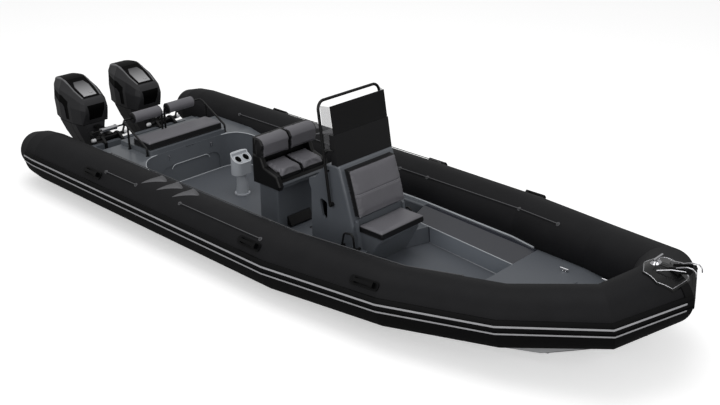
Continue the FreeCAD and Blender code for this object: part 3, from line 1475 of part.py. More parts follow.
def plan_slab(rows, low, high):
    outline = list(rows) + [(x, -y) for x, y in reversed(rows)]
    return slab_xy(outline, low, high)


cap_plan = plan_slab(CAP_PLAN, 700.0, 1400.0)
roof_cut = cowl_side(wide_half)
roof_cut.translate(Vector(0, 0, -cap_thick))
roof_rise = cowl_side(wide_half)
roof_rise.translate(Vector(0, 0, cap_proud))
cap_room = cap_plan.cut(roof_cut)
cap = roof_rise.common(cap_plan).cut(roof_cut)
cap = cap.cut(plan_slab(WINDOW_PLAN, 700.0, 1400.0))
cap_low = slab_xz([(-1200, 940), (-1200, 1300), (-300, 1300), (-300, 840), (-420, 900), (-760, 1000)], wide_half)
cap = cap.common(cap_low)
cap_room = cap_room.cut(plan_slab(WINDOW_PLAN, 700.0, 1400.0)).common(cap_low)
cap = sorted(cap.Solids, key=lambda solid: -solid.Volume)[0]
side_inserts = side_window.common(cowl_insert).cut(cowl_back)
front_insert = front_window.common(cowl_insert).common(box((front_back, -200), (-200, 200), (500, 1000)))
nose_cut = cowl_side(wide_half)
nose_cut.translate(Vector(-insert_depth, 0, 0))
front_insert = front_insert.common(nose_cut)
upper_cowl = cowl_body.cut(cap_room)
upper_cowl = upper_cowl.cut(side_window.cut(cowl_back))
upper_cowl = upper_cowl.cut(front_window.common(box((front_back, -200), (-400, 400), (500, 1000))))
upper_cowl = sorted(upper_cowl.Solids, key=lambda solid: -solid.Volume)[0]
trim_solids = [cap] + side_inserts.Solids + front_insert.Solids
cowl_trim = Part.makeCompound([solid for solid in trim_solids if solid.Volume > 5000])

prop_x = -800.0
shaft_radius_prop = size("prop_shaft")
skeg_z = prop_z - 180.0
torpedo_radius = 62.0
torpedo_fore = -470.0
torpedo_aft = -690.0
plate_aft = -925.0
# The trim tab hangs from the planing plate abaft the propeller's blades.
tab_fore = prop_x - 62.0
tab_aft = tab_fore - 52.0


def gearcase():
    torpedo = rod(Vector(torpedo_fore, 0, prop_z), Vector(torpedo_aft, 0, prop_z), torpedo_radius)
    nose = Part.makeCone(torpedo_radius, 16.0, 110.0, Vector(torpedo_fore, 0, prop_z), Vector(1, 0, 0))
    tail = Part.makeCone(torpedo_radius, 52.0, 45.0, Vector(torpedo_aft, 0, prop_z), Vector(-1, 0, 0))
    strut_rows = ((prop_z, -440.0, -690.0, 34.0), (plate_z + 4, -360.0, -650.0, 36.0))
    strut = stack([(z, fore, aft, half, 0.3 * half, 0.3 * half) for z, fore, aft, half in strut_rows])
    skeg = slab_xz([(torpedo_fore, prop_z), (-700, prop_z), (-735, skeg_z), (-650, skeg_z)], 8.0)
    plate = slab_xz([(-330, plate_z), (plate_aft, plate_z), (plate_aft, plate_z + 9), (-330, plate_z + 9)], 120.0)
    plate = rounded_edges(plate, 70.0, upright)
    fin = slab_xz([(tab_fore, plate_z + 1), (tab_aft, plate_z + 1), (tab_aft, plate_z - 60), (tab_fore + 16, plate_z - 60)], 5.0)
    bore = rod(Vector(-590, 0, prop_z), Vector(-900, 0, prop_z), shaft_radius_prop + turn_fit)
    return torpedo.fuse([nose, tail, strut, skeg, plate, fin]).cut(bore)


clamp_side = 128.0
clamp_half = 17.0
tilt_tube = 24.0


def clamp_bracket():
    hook = [
        (-gap, transom_top - 250),
        (-60, transom_top - 250),
        (-110, transom_top - 90),
        (-110, tilt_height),
        (-60, tilt_height + 36),
        (0, tilt_height + 36),
        (transom_thick + 22, transom_top + 15),
        (transom_thick + 22, transom_top - 70),
        (transom_thick + gap, transom_top - 70),
        (transom_thick + gap, transom_top + gap),
        (-gap, transom_top + gap),
    ]
    arms = []
    for side in (-1, 1):
        arm = slab_xz(hook, clamp_half, side * clamp_side)
        hole = rod(Vector(tilt_x, -400, tilt_height), Vector(tilt_x, 400, tilt_height), tilt_tube + turn_fit)
        arms.append(arm.cut(hole))
    return Part.makeCompound(arms)


pin_fit_radius = 22.0


def swivel_bracket():
    """Bracket that tilts on the tilt tube and holds the kingpin's bore."""
    tube = rod(Vector(tilt_x, -190, tilt_height), Vector(tilt_x, 190, tilt_height), tilt_tube)
    body = slab_xz(
        [
            (tilt_x, tilt_height - 34),
            (tilt_x, tilt_height + 34),
            (swivel_x, tilt_height + 40),
            (swivel_x, 90),
            (swivel_x + 60, 90),
        ],
        62.0,
    )
    body = body.cut(slab_xz([(tilt_x - 40, tilt_height - 60), (swivel_x + 60, 300), (swivel_x + 54, 130),
                             (swivel_x + 80, 130), (tilt_x, 300)], 40.0))
    column = rod(Vector(swivel_x, 0, 40), Vector(swivel_x, 0, tilt_height + 46), 48.0)
    bore = rod(Vector(swivel_x, 0, 0), Vector(swivel_x, 0, 1000), pin_fit_radius + turn_fit)
    return tube.fuse([body, column]).cut(bore)


ram_x = tilt_x - 8.0
ram_z = tilt_height + 100.0
ram_rod_radius = 11.0
ram_half = 262.0


def ram_rod():
    """Fixed rod of the steering cylinder, carried on two arms of the tilt tube."""
    bar = rod(Vector(ram_x, -ram_half, ram_z), Vector(ram_x, ram_half, ram_z), ram_rod_radius)
    ends = []
    for side in (-1, 1):
        ends.append(rod(Vector(ram_x, side * 232, ram_z), Vector(ram_x, side * ram_half, ram_z), 27.0))
        ends.append(rod(Vector(ram_x, side * 247, ram_z), Vector(tilt_x, side * 200, tilt_height), 13.0))
        ends.append(rod(Vector(tilt_x, side * 186, tilt_height), Vector(tilt_x, side * 212, tilt_height), 26.0))
    return bar.fuse(ends)


def ram_barrel():
    barrel = rod(Vector(ram_x, -105, ram_z), Vector(ram_x, 105, ram_z), 30.0)
    caps = [rod(Vector(ram_x, side * 115, ram_z), Vector(ram_x, side * 95, ram_z), 34.0) for side in (-1, 1)]
    hole = rod(Vector(ram_x, -400, ram_z), Vector(ram_x, 400, ram_z), ram_rod_radius + turn_fit)
    return barrel.fuse(caps).cut(hole)


def steering_head():
    """Kingpin and the yokes that carry the leg behind the swivel bracket."""
    pin = rod(Vector(swivel_x, 0, 5), Vector(swivel_x, 0, tilt_height + 88), pin_fit_radius)
    top = slab_xz([(swivel_x - 170, tilt_height + 52), (swivel_x + 60, tilt_height + 52),
                   (swivel_x + 60, tilt_height + 84), (swivel_x - 170, tilt_height + 84)], 40.0)
    low = slab_xz([(swivel_x - 165, -5), (swivel_x + 30, -5), (swivel_x + 30, 32), (swivel_x - 165, 32)], 40.0)
    return pin.fuse([rounded_edges(top, 30.0, upright), rounded_edges(low, 30.0, upright)])


BLADES = 3
hub_radius = 50.0
# Sections of a blade: share of the propeller's radius, chord, thickness, pitch angle, rake aft, sweep
BLADE_SECTIONS = (
    (0.20, 84.0, 10.0, 58.0, 0.0, 0.0),
    (0.50, 122.0, 8.0, 41.0, 8.0, -4.0),
    (0.80, 118.0, 5.0, 31.0, 18.0, -16.0),
    (1.00, 46.0, 3.0, 26.0, 26.0, -34.0),
)


def blade():
    """A twisted blade: lens sections turned to the pitch of a screw, raked aft and swept."""
    sections = []
    for share, chord, thick, pitch, rake, sweep in BLADE_SECTIONS:
        z = share * size("prop_radius") - 6
        corners = ((-0.5 * chord, 0.0), (0.0, 0.5 * thick), (0.5 * chord, 0.0), (0.0, -0.5 * thick))
        turn = math.radians(pitch)
        points = []
        for along, across in corners:
            x = along * math.sin(turn) + across * math.cos(turn) - rake
            y = along * math.cos(turn) - across * math.sin(turn) + sweep
            points.append(Vector(x, y, z))
        sections.append(Part.makePolygon(points + [points[0]]))
    return Part.makeLoft(sections, True, True)


def propeller():
    hub = rod(Vector(prop_x + 63, 0, prop_z), Vector(prop_x - 50, 0, prop_z), hub_radius)
    hub = hub.fuse(Part.makeCone(hub_radius, 34.0, 30.0, Vector(prop_x - 50, 0, prop_z), Vector(-1, 0, 0)))
    hub = hub.cut(Part.makeCone(28.0, 42.0, 60.0, Vector(prop_x - 30, 0, prop_z), Vector(-1, 0, 0)))
    shaft = rod(Vector(prop_x + 200, 0, prop_z), Vector(prop_x - 60, 0, prop_z), shaft_radius_prop)
    blades = []
    for index in range(BLADES):
        turned = blade()
        turned.rotate(Vector(0, 0, 0), Vector(1, 0, 0), 360.0 * index / BLADES)
        turned.translate(Vector(prop_x + 10, 0, prop_z))
        blades.append(turned)
    return hub.fuse([shaft] + blades)


leg = stack(LEG).fuse(steering_head())
lower_cowl = stack(LOWER_COWL).cut(leg)
ENGINE_PIECES = (
    ("swivel", swivel_bracket().fuse(ram_rod())),
    ("ram", ram_barrel()),
    ("leg", leg),
    ("gearcase", gearcase().cut(leg)),
    ("lower_cowl", lower_cowl),
    ("upper_cowl", upper_cowl),
    ("cowl_trim", cowl_trim),
    ("propeller", propeller()),
)
engine_offset = size("engine_offset")
engine_places = {
    "port": Placement(Vector(0, engine_offset, 0), Rotation()),
    "starboard": Placement(Vector(0, -engine_offset, 0), Rotation()),
}
for name, shape in ENGINE_PIECES:
    for side, place in engine_places.items():
        keep("engine_" + side + "_" + name, shape, place)
clamps = []
for place in engine_places.values():
    clamp = clamp_bracket()
    clamp.Placement = place
    clamps.append(clamp)
keep("engine_clamps", Part.makeCompound(clamps))

doc.recompute()
os.makedirs("parts", exist_ok=True)
for item in doc.Objects:
    if "Invalid" in item.State or "Error" in item.State:
        raise RuntimeError(item.Label + " failed to build")
for piece in pieces:
    if piece.Shape.isNull() or not piece.Shape.isValid():
        raise RuntimeError(piece.Label + " has no valid shape")
    print(piece.Label, len(piece.Shape.Solids), round(piece.Shape.Volume / 1e6, 2))
    piece.Shape.exportStep(os.path.join("parts", piece.Label + ".step"))
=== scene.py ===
import math

import bmesh
import bpy
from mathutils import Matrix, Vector
from mathutils.bvhtree import BVHTree


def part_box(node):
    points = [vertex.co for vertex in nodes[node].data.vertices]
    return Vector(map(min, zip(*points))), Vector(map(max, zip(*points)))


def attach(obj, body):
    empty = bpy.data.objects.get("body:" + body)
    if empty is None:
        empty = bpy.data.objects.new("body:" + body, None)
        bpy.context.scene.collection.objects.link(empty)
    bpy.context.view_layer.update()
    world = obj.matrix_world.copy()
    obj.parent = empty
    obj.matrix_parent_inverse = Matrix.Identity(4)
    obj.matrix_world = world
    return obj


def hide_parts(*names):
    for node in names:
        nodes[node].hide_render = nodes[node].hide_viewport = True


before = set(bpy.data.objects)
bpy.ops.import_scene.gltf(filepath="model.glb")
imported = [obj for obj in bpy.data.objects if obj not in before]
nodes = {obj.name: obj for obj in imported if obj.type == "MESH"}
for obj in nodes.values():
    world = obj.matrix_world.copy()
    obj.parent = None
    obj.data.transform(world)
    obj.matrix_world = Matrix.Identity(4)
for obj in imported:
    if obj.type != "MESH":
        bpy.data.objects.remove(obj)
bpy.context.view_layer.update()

# ---------------------------------------------------------------- view
# The camera stands off the starboard bow, a little above the height of a quay, so that the
# near tube, the open cockpit and both outboards are all in the frame.
VIEW_AZIMUTH = math.radians(43.15)
VIEW_ELEVATION = math.radians(23.61)
camera_data = bpy.data.cameras.new("camera")
camera_data.sensor_width = 36.0
camera_data.lens = 51.45
camera_data.clip_end = 400.0
camera = bpy.data.objects.new("camera", camera_data)
bpy.context.scene.collection.objects.link(camera)
camera.location = (10.99, -7.41, 5.02)
toward_camera = Vector((
    math.sin(VIEW_AZIMUTH) * math.cos(VIEW_ELEVATION),
    -math.cos(VIEW_AZIMUTH) * math.cos(VIEW_ELEVATION),
    math.sin(VIEW_ELEVATION),
))
camera.rotation_euler = (-toward_camera).to_track_quat("-Z", "Y").to_euler()
bpy.context.scene.camera = camera
bpy.context.scene.view_settings.view_transform = "Standard"

# ---------------------------------------------------------------- floor and light
# A plain pale studio floor at the height of the water, under one broad soft lamp overhead, two
# weaker ones off the bow and off the near side, and an even pale surround.


def linear(code):
    """An sRGB hex colour as the linear colour that a shader takes."""
    parts = [int(code[i:i + 2], 16) / 255 for i in (1, 3, 5)]
    return tuple(p / 12.92 if p <= 0.04045 else ((p + 0.055) / 1.055) ** 2.4 for p in parts) + (1.0,)


def add_node(tree, kind, settings=None, links=None):
    """A node with its settings, sockets by their capitalised names, and what feeds it."""
    node = tree.nodes.new(kind)
    for name, value in (settings or {}).items():
        if isinstance(name, int) or name[0].isupper():
            node.inputs[name].default_value = value
        else:
            setattr(node, name, value)
    for socket, source in (links or {}).items():
        tree.links.new(source, node.inputs[socket])
    return node


def finish(name, colour, **sockets):
    """A named finish: its colour and the shader's other sockets. Patterns are linked to it afterwards."""
    material = bpy.data.materials.new(name)
    material.use_nodes = True
    shader = material.node_tree.nodes["Principled BSDF"]
    shader.inputs["Base Color"].default_value = linear(colour)
    for socket, value in sockets.items():
        shader.inputs[socket.replace("_", " ")].default_value = value
    return material


def link_mesh(name, mesh, *materials):
    """A mesh as an object in the scene, with its materials."""
    piece = bpy.data.objects.new(name, mesh)
    bpy.context.scene.collection.objects.link(piece)
    for material in materials:
        mesh.materials.append(material)
    return piece


world = bpy.data.worlds.new("studio")
world.use_nodes = True
bpy.context.scene.world = world
sky = world.node_tree
surround = sky.nodes["Background"]
surround.inputs["Strength"].default_value = 0.5
surround.inputs["Color"].default_value = linear("#ffffff")
seen_white = add_node(sky, "ShaderNodeBackground", {"Color": linear("#ffffff"), "Strength": 1.0})
path = add_node(sky, "ShaderNodeLightPath")
sky_mix = add_node(sky, "ShaderNodeMixShader", links={
    0: path.outputs["Is Camera Ray"],
    1: surround.outputs["Background"],
    2: seen_white.outputs["Background"],
})
sky.links.new(sky_mix.outputs["Shader"], sky.nodes["World Output"].inputs["Surface"])

floor_mesh = bpy.data.meshes.new("floor")
floor_mesh.from_pydata([(-90, -90, 0), (90, -90, 0), (90, 90, 0), (-90, 90, 0)], [], [(0, 1, 2, 3)])
matt_paper = finish("matt_studio_paper", "#f4f4f4", Roughness=0.9)
paper_tree = matt_paper.node_tree
paper_path = add_node(paper_tree, "ShaderNodeLightPath")
paper_glow = add_node(paper_tree, "ShaderNodeEmission", {"Color": linear("#ffffff"), "Strength": 0.42})
paper_sum = add_node(paper_tree, "ShaderNodeAddShader", links={
    0: paper_tree.nodes["Principled BSDF"].outputs["BSDF"],
    1: paper_glow.outputs["Emission"],
})
# Light that the paper throws back up is held down, so that the underside of the tubes stays dark.
paper_return = add_node(paper_tree, "ShaderNodeBsdfDiffuse", {"Color": linear("#8a8a8a")})
paper_mix = add_node(paper_tree, "ShaderNodeMixShader", links={
    0: paper_path.outputs["Is Camera Ray"],
    1: paper_return.outputs["BSDF"],
    2: paper_sum.outputs["Shader"],
})
paper_tree.links.new(paper_mix.outputs["Shader"], paper_tree.nodes["Material Output"].inputs["Surface"])
floor = link_mesh("floor", floor_mesh, matt_paper)

# Lamps: name, place, power, width and length of the panel, spot that it faces
LAMPS = (
    ("top_panel", (3.5, -1.0, 13.0), 560.0, 11.0, 9.0, (3.5, 0.0, 0.0)),
    ("bow_panel", (15.0, -5.0, 5.5), 260.0, 6.0, 6.0, (4.0, 0.0, 0.5)),
    ("side_panel", (5.0, -14.0, 5.5), 400.0, 9.0, 5.0, (3.5, 0.0, 0.5)),
)
for name, place, power, width, length, aim in LAMPS:
    lamp = bpy.data.lights.new(name, "AREA")
    lamp.shape = "RECTANGLE"
    lamp.size = width
    lamp.size_y = length
    lamp.energy = power
    lamp_object = bpy.data.objects.new(name, lamp)
    bpy.context.scene.collection.objects.link(lamp_object)
    lamp_object.location = place
    lamp_object.rotation_euler = (Vector(aim) - Vector(place)).to_track_quat("-Z", "Y").to_euler()

# ---------------------------------------------------------------- hull
# The hull is a hand-laid glass fibre moulding with a pale gelcoat skin, polished from the mould.


def dress(material, *names):
    """Gives CAD nodes their finish."""
    for name in names:
        slots = nodes[name].material_slots
        if not slots:
            nodes[name].data.materials.append(material)
        for entry in slots:
            entry.material = material


def pattern(tree, kind, settings):
    """The output of a texture laid over a piece's own coordinates."""
    spot = add_node(tree, "ShaderNodeTexCoord")
    texture = add_node(tree, "ShaderNodeTex" + kind, settings, {"Vector": spot.outputs["Object"]})
    return texture.outputs["Distance" if kind == "Voronoi" else "Fac"]


def relief(material, kind, strength, depth, **settings):
    """Bumps a finish by a pattern, over a depth in metres."""
    tree = material.node_tree
    bump = add_node(tree, "ShaderNodeBump", {"Strength": strength, "Distance": depth},
                    {"Height": pattern(tree, kind, settings)})
    tree.links.new(bump.outputs["Normal"], tree.nodes["Principled BSDF"].inputs["Normal"])
    return bump


# Polished gelcoat: a clear gloss over a flat colour. The mould's faint waves, 0.14 m long, bend
# what it mirrors.
hull_gelcoat = finish(
    "hull_gelcoat_polished", "#c3c4c6", Roughness=0.28, Coat_Weight=0.4, Coat_Roughness=0.08)
relief(hull_gelcoat, "Noise", 0.12, 0.002, Scale=7.0, Detail=2.0)
dress(hull_gelcoat, "hull_shell")

# ---------------------------------------------------------------- deck moulding
# Sole, stern bench, side walls, ledges and bow deck are one liner in blue-grey gelcoat: satin
# where it is walked past, with a moulded pebble grip where feet stand.
DECK_COLOUR = "#5b5f65"
SIDES = ((1, "port"), (-1, "starboard"))


def graded(tree, value, low, high):
    """Links a value to the base colour through a ramp; low and high are each a value and its colour."""
    ramp = add_node(tree, "ShaderNodeValToRGB", links={"Fac": value})
    for stop, (place, colour) in zip(ramp.color_ramp.elements, (low, high)):
        stop.position = place
        stop.color = linear(colour)
    tree.links.new(ramp.outputs["Color"], tree.nodes["Principled BSDF"].inputs["Base Color"])


def mottle(material, kind, low, high, **settings):
    """Varies a finish's colour by a pattern."""
    graded(material.node_tree, pattern(material.node_tree, kind, settings), low, high)


deck_gelcoat = finish(
    "deck_gelcoat_satin", DECK_COLOUR, Roughness=0.34, Coat_Weight=0.25, Coat_Roughness=0.15)
# Roller stipple about 6 mm across softens the reflections, and a drift of shade over 0.8 m keeps
# broad panels from looking flat.
mottle(deck_gelcoat, "Noise", (0.3, "#575b61"), (0.7, "#606469"), Scale=1.3, Detail=3.0)
relief(deck_gelcoat, "Noise", 0.10, 0.001, Scale=160.0, Detail=2.0)
dress(deck_gelcoat, "transom", "stern_moulding", "bench_lid", "side_walls", "console_body", "helm_seat_base")

# The fore ledges' gelcoat is glossier, and painted darker than the deck's: painted shade, with a painted
# reflection of the dark tube beside them.
ledge_painted_shade = finish(
    "ledge_painted_shade_dark", "#2f3138", Roughness=0.24, Coat_Weight=0.5, Coat_Roughness=0.1)
# The deck's roller stipple, about 6 mm across, softens what they mirror.
relief(ledge_painted_shade, "Noise", 0.08, 0.001, Scale=160.0, Detail=2.0)
dress(ledge_painted_shade, "fore_ledges")

# Paler than the deck: a painted highlight for the light that the ledges' risers reflect.
riser_painted_highlight = finish(
    "riser_painted_highlight_polished", "#868c94", Roughness=0.25, Coat_Weight=0.4, Coat_Roughness=0.1)
# The mould's polish left a faint wave, 80 mm between crests, that breaks up the risers' light.
relief(riser_painted_highlight, "Noise", 0.08, 0.002, Scale=12.0, Detail=1.0)

# Pebble grip: 5 mm pebbles moulded into the gelcoat, drawn at 9 mm so that they show as a dull grain.
deck_grip = finish(
    "deck_gelcoat_pebbled", DECK_COLOUR, Roughness=0.5, Coat_Weight=0.1, Coat_Roughness=0.3)
relief(deck_grip, "Voronoi", 0.35, 0.001, Scale=110.0).invert = True
dress(deck_grip, "cockpit_sole", "bow_deck", "anchor_hatch")


def tube_along(name, points, radius, material, cyclic=False, sides=4):
    """A round rod or bead along points, as a mesh."""
    curve = bpy.data.curves.new(name, "CURVE")
    curve.dimensions = "3D"
    curve.bevel_depth = radius
    curve.bevel_resolution = sides
    curve.use_fill_caps = True
    run = curve.splines.new("POLY")
    run.points.add(len(points) - 1)
    for place, point in zip(run.points, points):
        place.co = (*point, 1.0)
    run.use_cyclic_u = cyclic
    shaped = bpy.data.objects.new(name + "_line", curve)
    bpy.context.scene.collection.objects.link(shaped)
    bpy.context.view_layer.update()
    mesh = bpy.data.meshes.new_from_object(shaped.evaluated_get(bpy.context.evaluated_depsgraph_get()))
    bpy.data.objects.remove(shaped)
    bpy.data.curves.remove(curve)
    for face in mesh.polygons:
        face.use_smooth = True
    return link_mesh(name, mesh, material)


def on_side(point, side):
    """A point of the port side, or its mirror image to starboard."""
    return Vector((point.x, side * point.y, point.z))


def arc_points(centre, radius, start, end, steps):
    """Points of a level arc, angles in degrees."""
    turns = [math.radians(start + (end - start) * i / steps) for i in range(steps + 1)]
    x, y, z = centre
    return [Vector((x + radius * math.cos(t), y + radius * math.sin(t), z)) for t in turns]


# The liner's inside corners are coved: a rounded bead runs round the sole and up the ledges' crests. It is
# drawn in a pale gelcoat, a painted highlight for the line of light that its curve catches.
coving_painted_highlight = finish(
    "coving_painted_highlight_polished", "#b4b8bd", Roughness=0.25, Coat_Weight=0.6, Coat_Roughness=0.08)
# Brush waves 33 mm long break up its line of light.
relief(coving_painted_highlight, "Noise", 0.1, 0.001, Scale=30.0, Detail=1.0)
_, sole_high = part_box("cockpit_sole")
ledge_low, ledge_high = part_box("fore_ledges")
sole_z = sole_high.z
inside = sole_high.y
# The bench's fore face, the radius of the cockpit's aft corners, and the ledges' risers: where they
# start, their height, and their half breadth at foot and crest, aft and fore
bench_x = 1.110
corner = 0.330
RISER_START, RISER_TOP = 4.250, 0.250
FOOT_AFT, FOOT_FORE = 0.640, 0.470
CREST_AFT, CREST_FORE = 0.618, 0.452
bead_z = sole_z + 0.002
liner_pieces = []
bead_side = [Vector((bench_x, 0.0, bead_z))]
bead_side += arc_points((bench_x + corner, inside - corner, bead_z), corner, 180, 90, 12)
bead_side += [Vector((ledge_low.x, inside, bead_z)), Vector((ledge_low.x, FOOT_AFT - 0.002, bead_z))]
bead_side += [Vector((ledge_high.x, FOOT_FORE - 0.004, bead_z))]
for side, name in SIDES:
    run = [on_side(p, side) for p in bead_side]
    liner_pieces.append(tube_along("sole_coving_highlight_" + name, run, 0.007, coving_painted_highlight))
    crest = [Vector((ledge_low.x, side * CREST_AFT, RISER_TOP)),
             Vector((ledge_high.x, side * CREST_FORE, RISER_TOP))]
    liner_pieces.append(tube_along("ledge_crest_highlight_" + name, crest, 0.006, coving_painted_highlight))

# The coaming's rolled edge round each corner of the bench, falling to the side deck, as a pale bead: a
# painted highlight along the edge.
deck_z = 0.500
LEVEL_REACH, FALL = 0.060, 0.040
for side, name in SIDES:
    edge = [Vector((bench_x, 0.60, deck_z))]
    edge += arc_points((bench_x + corner, inside - corner, deck_z), corner, 180, 90, 16)
    edge += [Vector((1.675, inside + 0.012, 0.388)), Vector((1.910, inside + 0.012, 0.340))]
    for point in edge[:-2]:
        if point.x > bench_x + LEVEL_REACH:
            point.z = deck_z - FALL * (point.x - bench_x - LEVEL_REACH) / (corner - LEVEL_REACH)
    edge = [on_side(p, side) - Vector((0, 0, 0.002)) for p in edge]
    liner_pieces.append(tube_along("coaming_edge_highlight_" + name, edge, 0.006, coving_painted_highlight))

# The lip over the bench's toe space, a pale bead that is a painted highlight: half breadth, height
LIP = ((0.240, 0.302), (0.275, 0.287), (0.300, 0.252))
lip = [Vector((bench_x, -y, z)) for y, z in reversed(LIP)] + [Vector((bench_x, y, z)) for y, z in LIP]
liner_pieces.append(tube_along("bench_lip_highlight", lip, 0.005, coving_painted_highlight))

# The plinth under the console seat runs out to both ledges, as high as they are.
# The ledges' risers ahead of it carry a thin face of paler polished gelcoat, a painted highlight for the
# light that they reflect.
# Half plan of the plinth, x and half breadth, and its foot and top
PLINTH_PLAN = ((4.252, 0.300), (4.440, 0.300), (4.530, 0.618), (4.252, 0.636))
PLINTH_Z = (0.0505, 0.2500)
# The riser's face: its ends, its lower and upper edge, and how far it stands into the ledge
RISER_X = (4.540, ledge_high.x - 0.012)
RISER_Z = (0.054, 0.246)
RISER_THICK = 0.0025


def prism(name, lows, tops, material):
    """A solid between two matching outlines."""
    mesh = bpy.data.meshes.new(name)
    count = len(lows)
    sides = [(i, (i + 1) % count, count + (i + 1) % count, count + i) for i in range(count)]
    ends = [tuple(reversed(range(count))), tuple(range(count, 2 * count))]
    mesh.from_pydata(list(lows) + list(tops), [], sides + ends)
    return link_mesh(name, mesh, material)


def riser_y(x, z):
    """Half breadth of the riser's face, which leans inboard from its foot to its crest."""
    share = (x - RISER_START) / (ledge_high.x - RISER_START)
    foot = FOOT_AFT + (FOOT_FORE - FOOT_AFT) * share
    crest = CREST_AFT + (CREST_FORE - CREST_AFT) * share
    return foot + (crest - foot) * z / RISER_TOP


for side, name in SIDES:
    plinth = prism("seat_plinth_" + name, [(x, side * y, PLINTH_Z[0]) for x, y in PLINTH_PLAN],
                   [(x, side * y, PLINTH_Z[1]) for x, y in PLINTH_PLAN], deck_gelcoat)
    edge = plinth.modifiers.new("rounded_edge", "BEVEL")
    edge.width = 0.008
    edge.segments = 3
    rings = []
    for z in RISER_Z:
        ends = [(x, riser_y(x, z)) for x in RISER_X]
        skin = [(x, side * (y + 0.001), z) for x, y in ends]
        rings.append(skin + [(x, side * (y - RISER_THICK), z) for x, y in reversed(ends)])
    riser = prism("ledge_riser_highlight_face_" + name, rings[0], rings[1], riser_painted_highlight)
    liner_pieces += [plinth, riser]

# A gelcoat apron closes the front of the helm seat, from the base up to the cushions' lower edge.
_, helm_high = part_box("helm_seat_base")
APRON_HALF = 0.336
# Side of the apron: x ahead of the base's front, z above its top
APRON_SIDE = ((0.101, 0.002), (0.108, 0.002), (0.119, 0.045), (0.099, 0.088), (0.091, 0.088), (0.110, 0.045))
ends = [[(helm_high.x + x, y, helm_high.z + z) for x, z in APRON_SIDE] for y in (-APRON_HALF, APRON_HALF)]
liner_pieces.append(prism("helm_apron", ends[0], ends[1], deck_gelcoat))
for piece in liner_pieces:
    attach(piece, "boat")

# ---------------------------------------------------------------- cup pedestal
# A paler gelcoat pedestal carries two cup wells: each has a black rubber liner under a pale
# moulded ring, and the pedestal's head has a rolled edge.
UP = Vector((0, 0, 1))


def closed_mesh(name, verts, faces, smooth=True):
    """A closed mesh with its faces turned outward."""
    mesh = bpy.data.meshes.new(name)
    mesh.from_pydata([tuple(v) for v in verts], [], faces)
    bm = bmesh.new()
    bm.from_mesh(mesh)
    bmesh.ops.recalc_face_normals(bm, faces=bm.faces)
    bm.to_mesh(mesh)
    bm.free()
    for face in mesh.polygons:
        face.use_smooth = smooth
    return mesh


def lathe(name, centre, axis, profile, material, segments=32):
    """A solid turned about an axis from pairs of radius and distance along the axis."""
    axis = axis.normalized()
    across = axis.orthogonal().normalized()
    third = axis.cross(across)
    verts, rings = [], []
    for radius, along in profile:
        ring = []
        for i in range(segments if radius > 0 else 1):
            turn = 2 * math.pi * i / segments
            ring.append(len(verts))
            verts.append(centre + axis * along + (across * math.cos(turn) + third * math.sin(turn)) * radius)
        rings.append(ring)
    faces = []
    for low, high in zip(rings, rings[1:]):
        for i in range(segments):
            a, b = low[i % len(low)], low[(i + 1) % len(low)]
            c, d = high[(i + 1) % len(high)], high[i % len(high)]
            corners = [v for n, v in enumerate((a, b, c, d)) if v not in (a, b, c, d)[:n]]
            if len(corners) > 2:
                faces.append(corners)
    piece = link_mesh(name, closed_mesh(name, verts, faces), material)
    piece.data.set_sharp_from_angle(angle=math.radians(35))
    return piece


pedestal_gelcoat = finish(
    "pedestal_gelcoat_satin", "#b6bac0", Roughness=0.35, Coat_Weight=0.25, Coat_Roughness=0.15)
# The deck's roller stipple, about 6 mm across, softens its reflections.
relief(pedestal_gelcoat, "Noise", 0.10, 0.001, Scale=160.0, Detail=2.0)
dress(pedestal_gelcoat, "cup_pedestal")

pale_ring = finish("cup_ring_plastic_pale", "#d0d3d7", Roughness=0.3)
# Flow marks about 11 mm across, left by the moulding, make its shine uneven.
relief(pale_ring, "Noise", 0.06, 0.001, Scale=90.0, Detail=1.0)

liner_rubber = finish("cup_liner_rubber_black", "#0a0a0b", Roughness=0.6, Specular_IOR_Level=0.3)
# Ribs moulded round the liner 8 mm apart, seen as fine lines in the wells.
relief(liner_rubber, "Wave", 0.3, 0.001, Scale=40.0, bands_direction="Z")

POD_X, POD_Y, POD_TOP = 1.960, 0.110, 0.580
# The head's short step down, ahead of the pedestal's middle, and the slope that follows it
STEP_START, STEP_END, STEP_DROP = -0.040, -0.032, 0.030
SLOPE_RUN, SLOPE_DROP = 0.117, 0.075
# The cups: radius of the ring, place from the pedestal's middle, and the floor's depth below its top
CUP_HALF, CUP_APART, CUP_AHEAD, CUP_DEPTH = 0.044, 0.060, 0.020, 0.1785
# Section of a cup's liner: radius, height above its floor
LINER = ((0, 0), (0.0394, 0), (0.0394, 0.12), (0.0368, 0.12), (0.0368, 0.004), (0, 0.004))


def pod_height(x):
    """Height of the pedestal's head: level along its aft edge, then sloping down towards the bow."""
    ahead = x - POD_X
    if ahead < STEP_START:
        return POD_TOP
    if ahead < STEP_END:
        return POD_TOP - STEP_DROP * (ahead - STEP_START) / (STEP_END - STEP_START)
    return POD_TOP - STEP_DROP - SLOPE_DROP * (ahead - STEP_END) / SLOPE_RUN


for label, cup_y in (("starboard", POD_Y - CUP_APART), ("port", POD_Y + CUP_APART)):
    cup_x = POD_X + CUP_AHEAD
    ring_line = []
    for step in range(32):
        turn = 2 * math.pi * step / 32
        x = cup_x + CUP_HALF * math.cos(turn)
        ring_line.append(Vector((x, cup_y + CUP_HALF * math.sin(turn), pod_height(x) + 0.001)))
    ring = tube_along("cup_ring_" + label, ring_line, 0.0050, pale_ring, True)
    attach(ring, "boat")
    floor_z = POD_TOP - CUP_DEPTH
    liner = lathe("cup_liner_" + label, Vector((cup_x, cup_y, floor_z)), UP, LINER, liner_rubber)
    for vert in liner.data.vertices:
        if vert.co.z > floor_z + 0.1:
            vert.co.z = pod_height(vert.co.x) - 0.001
    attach(liner, "boat")

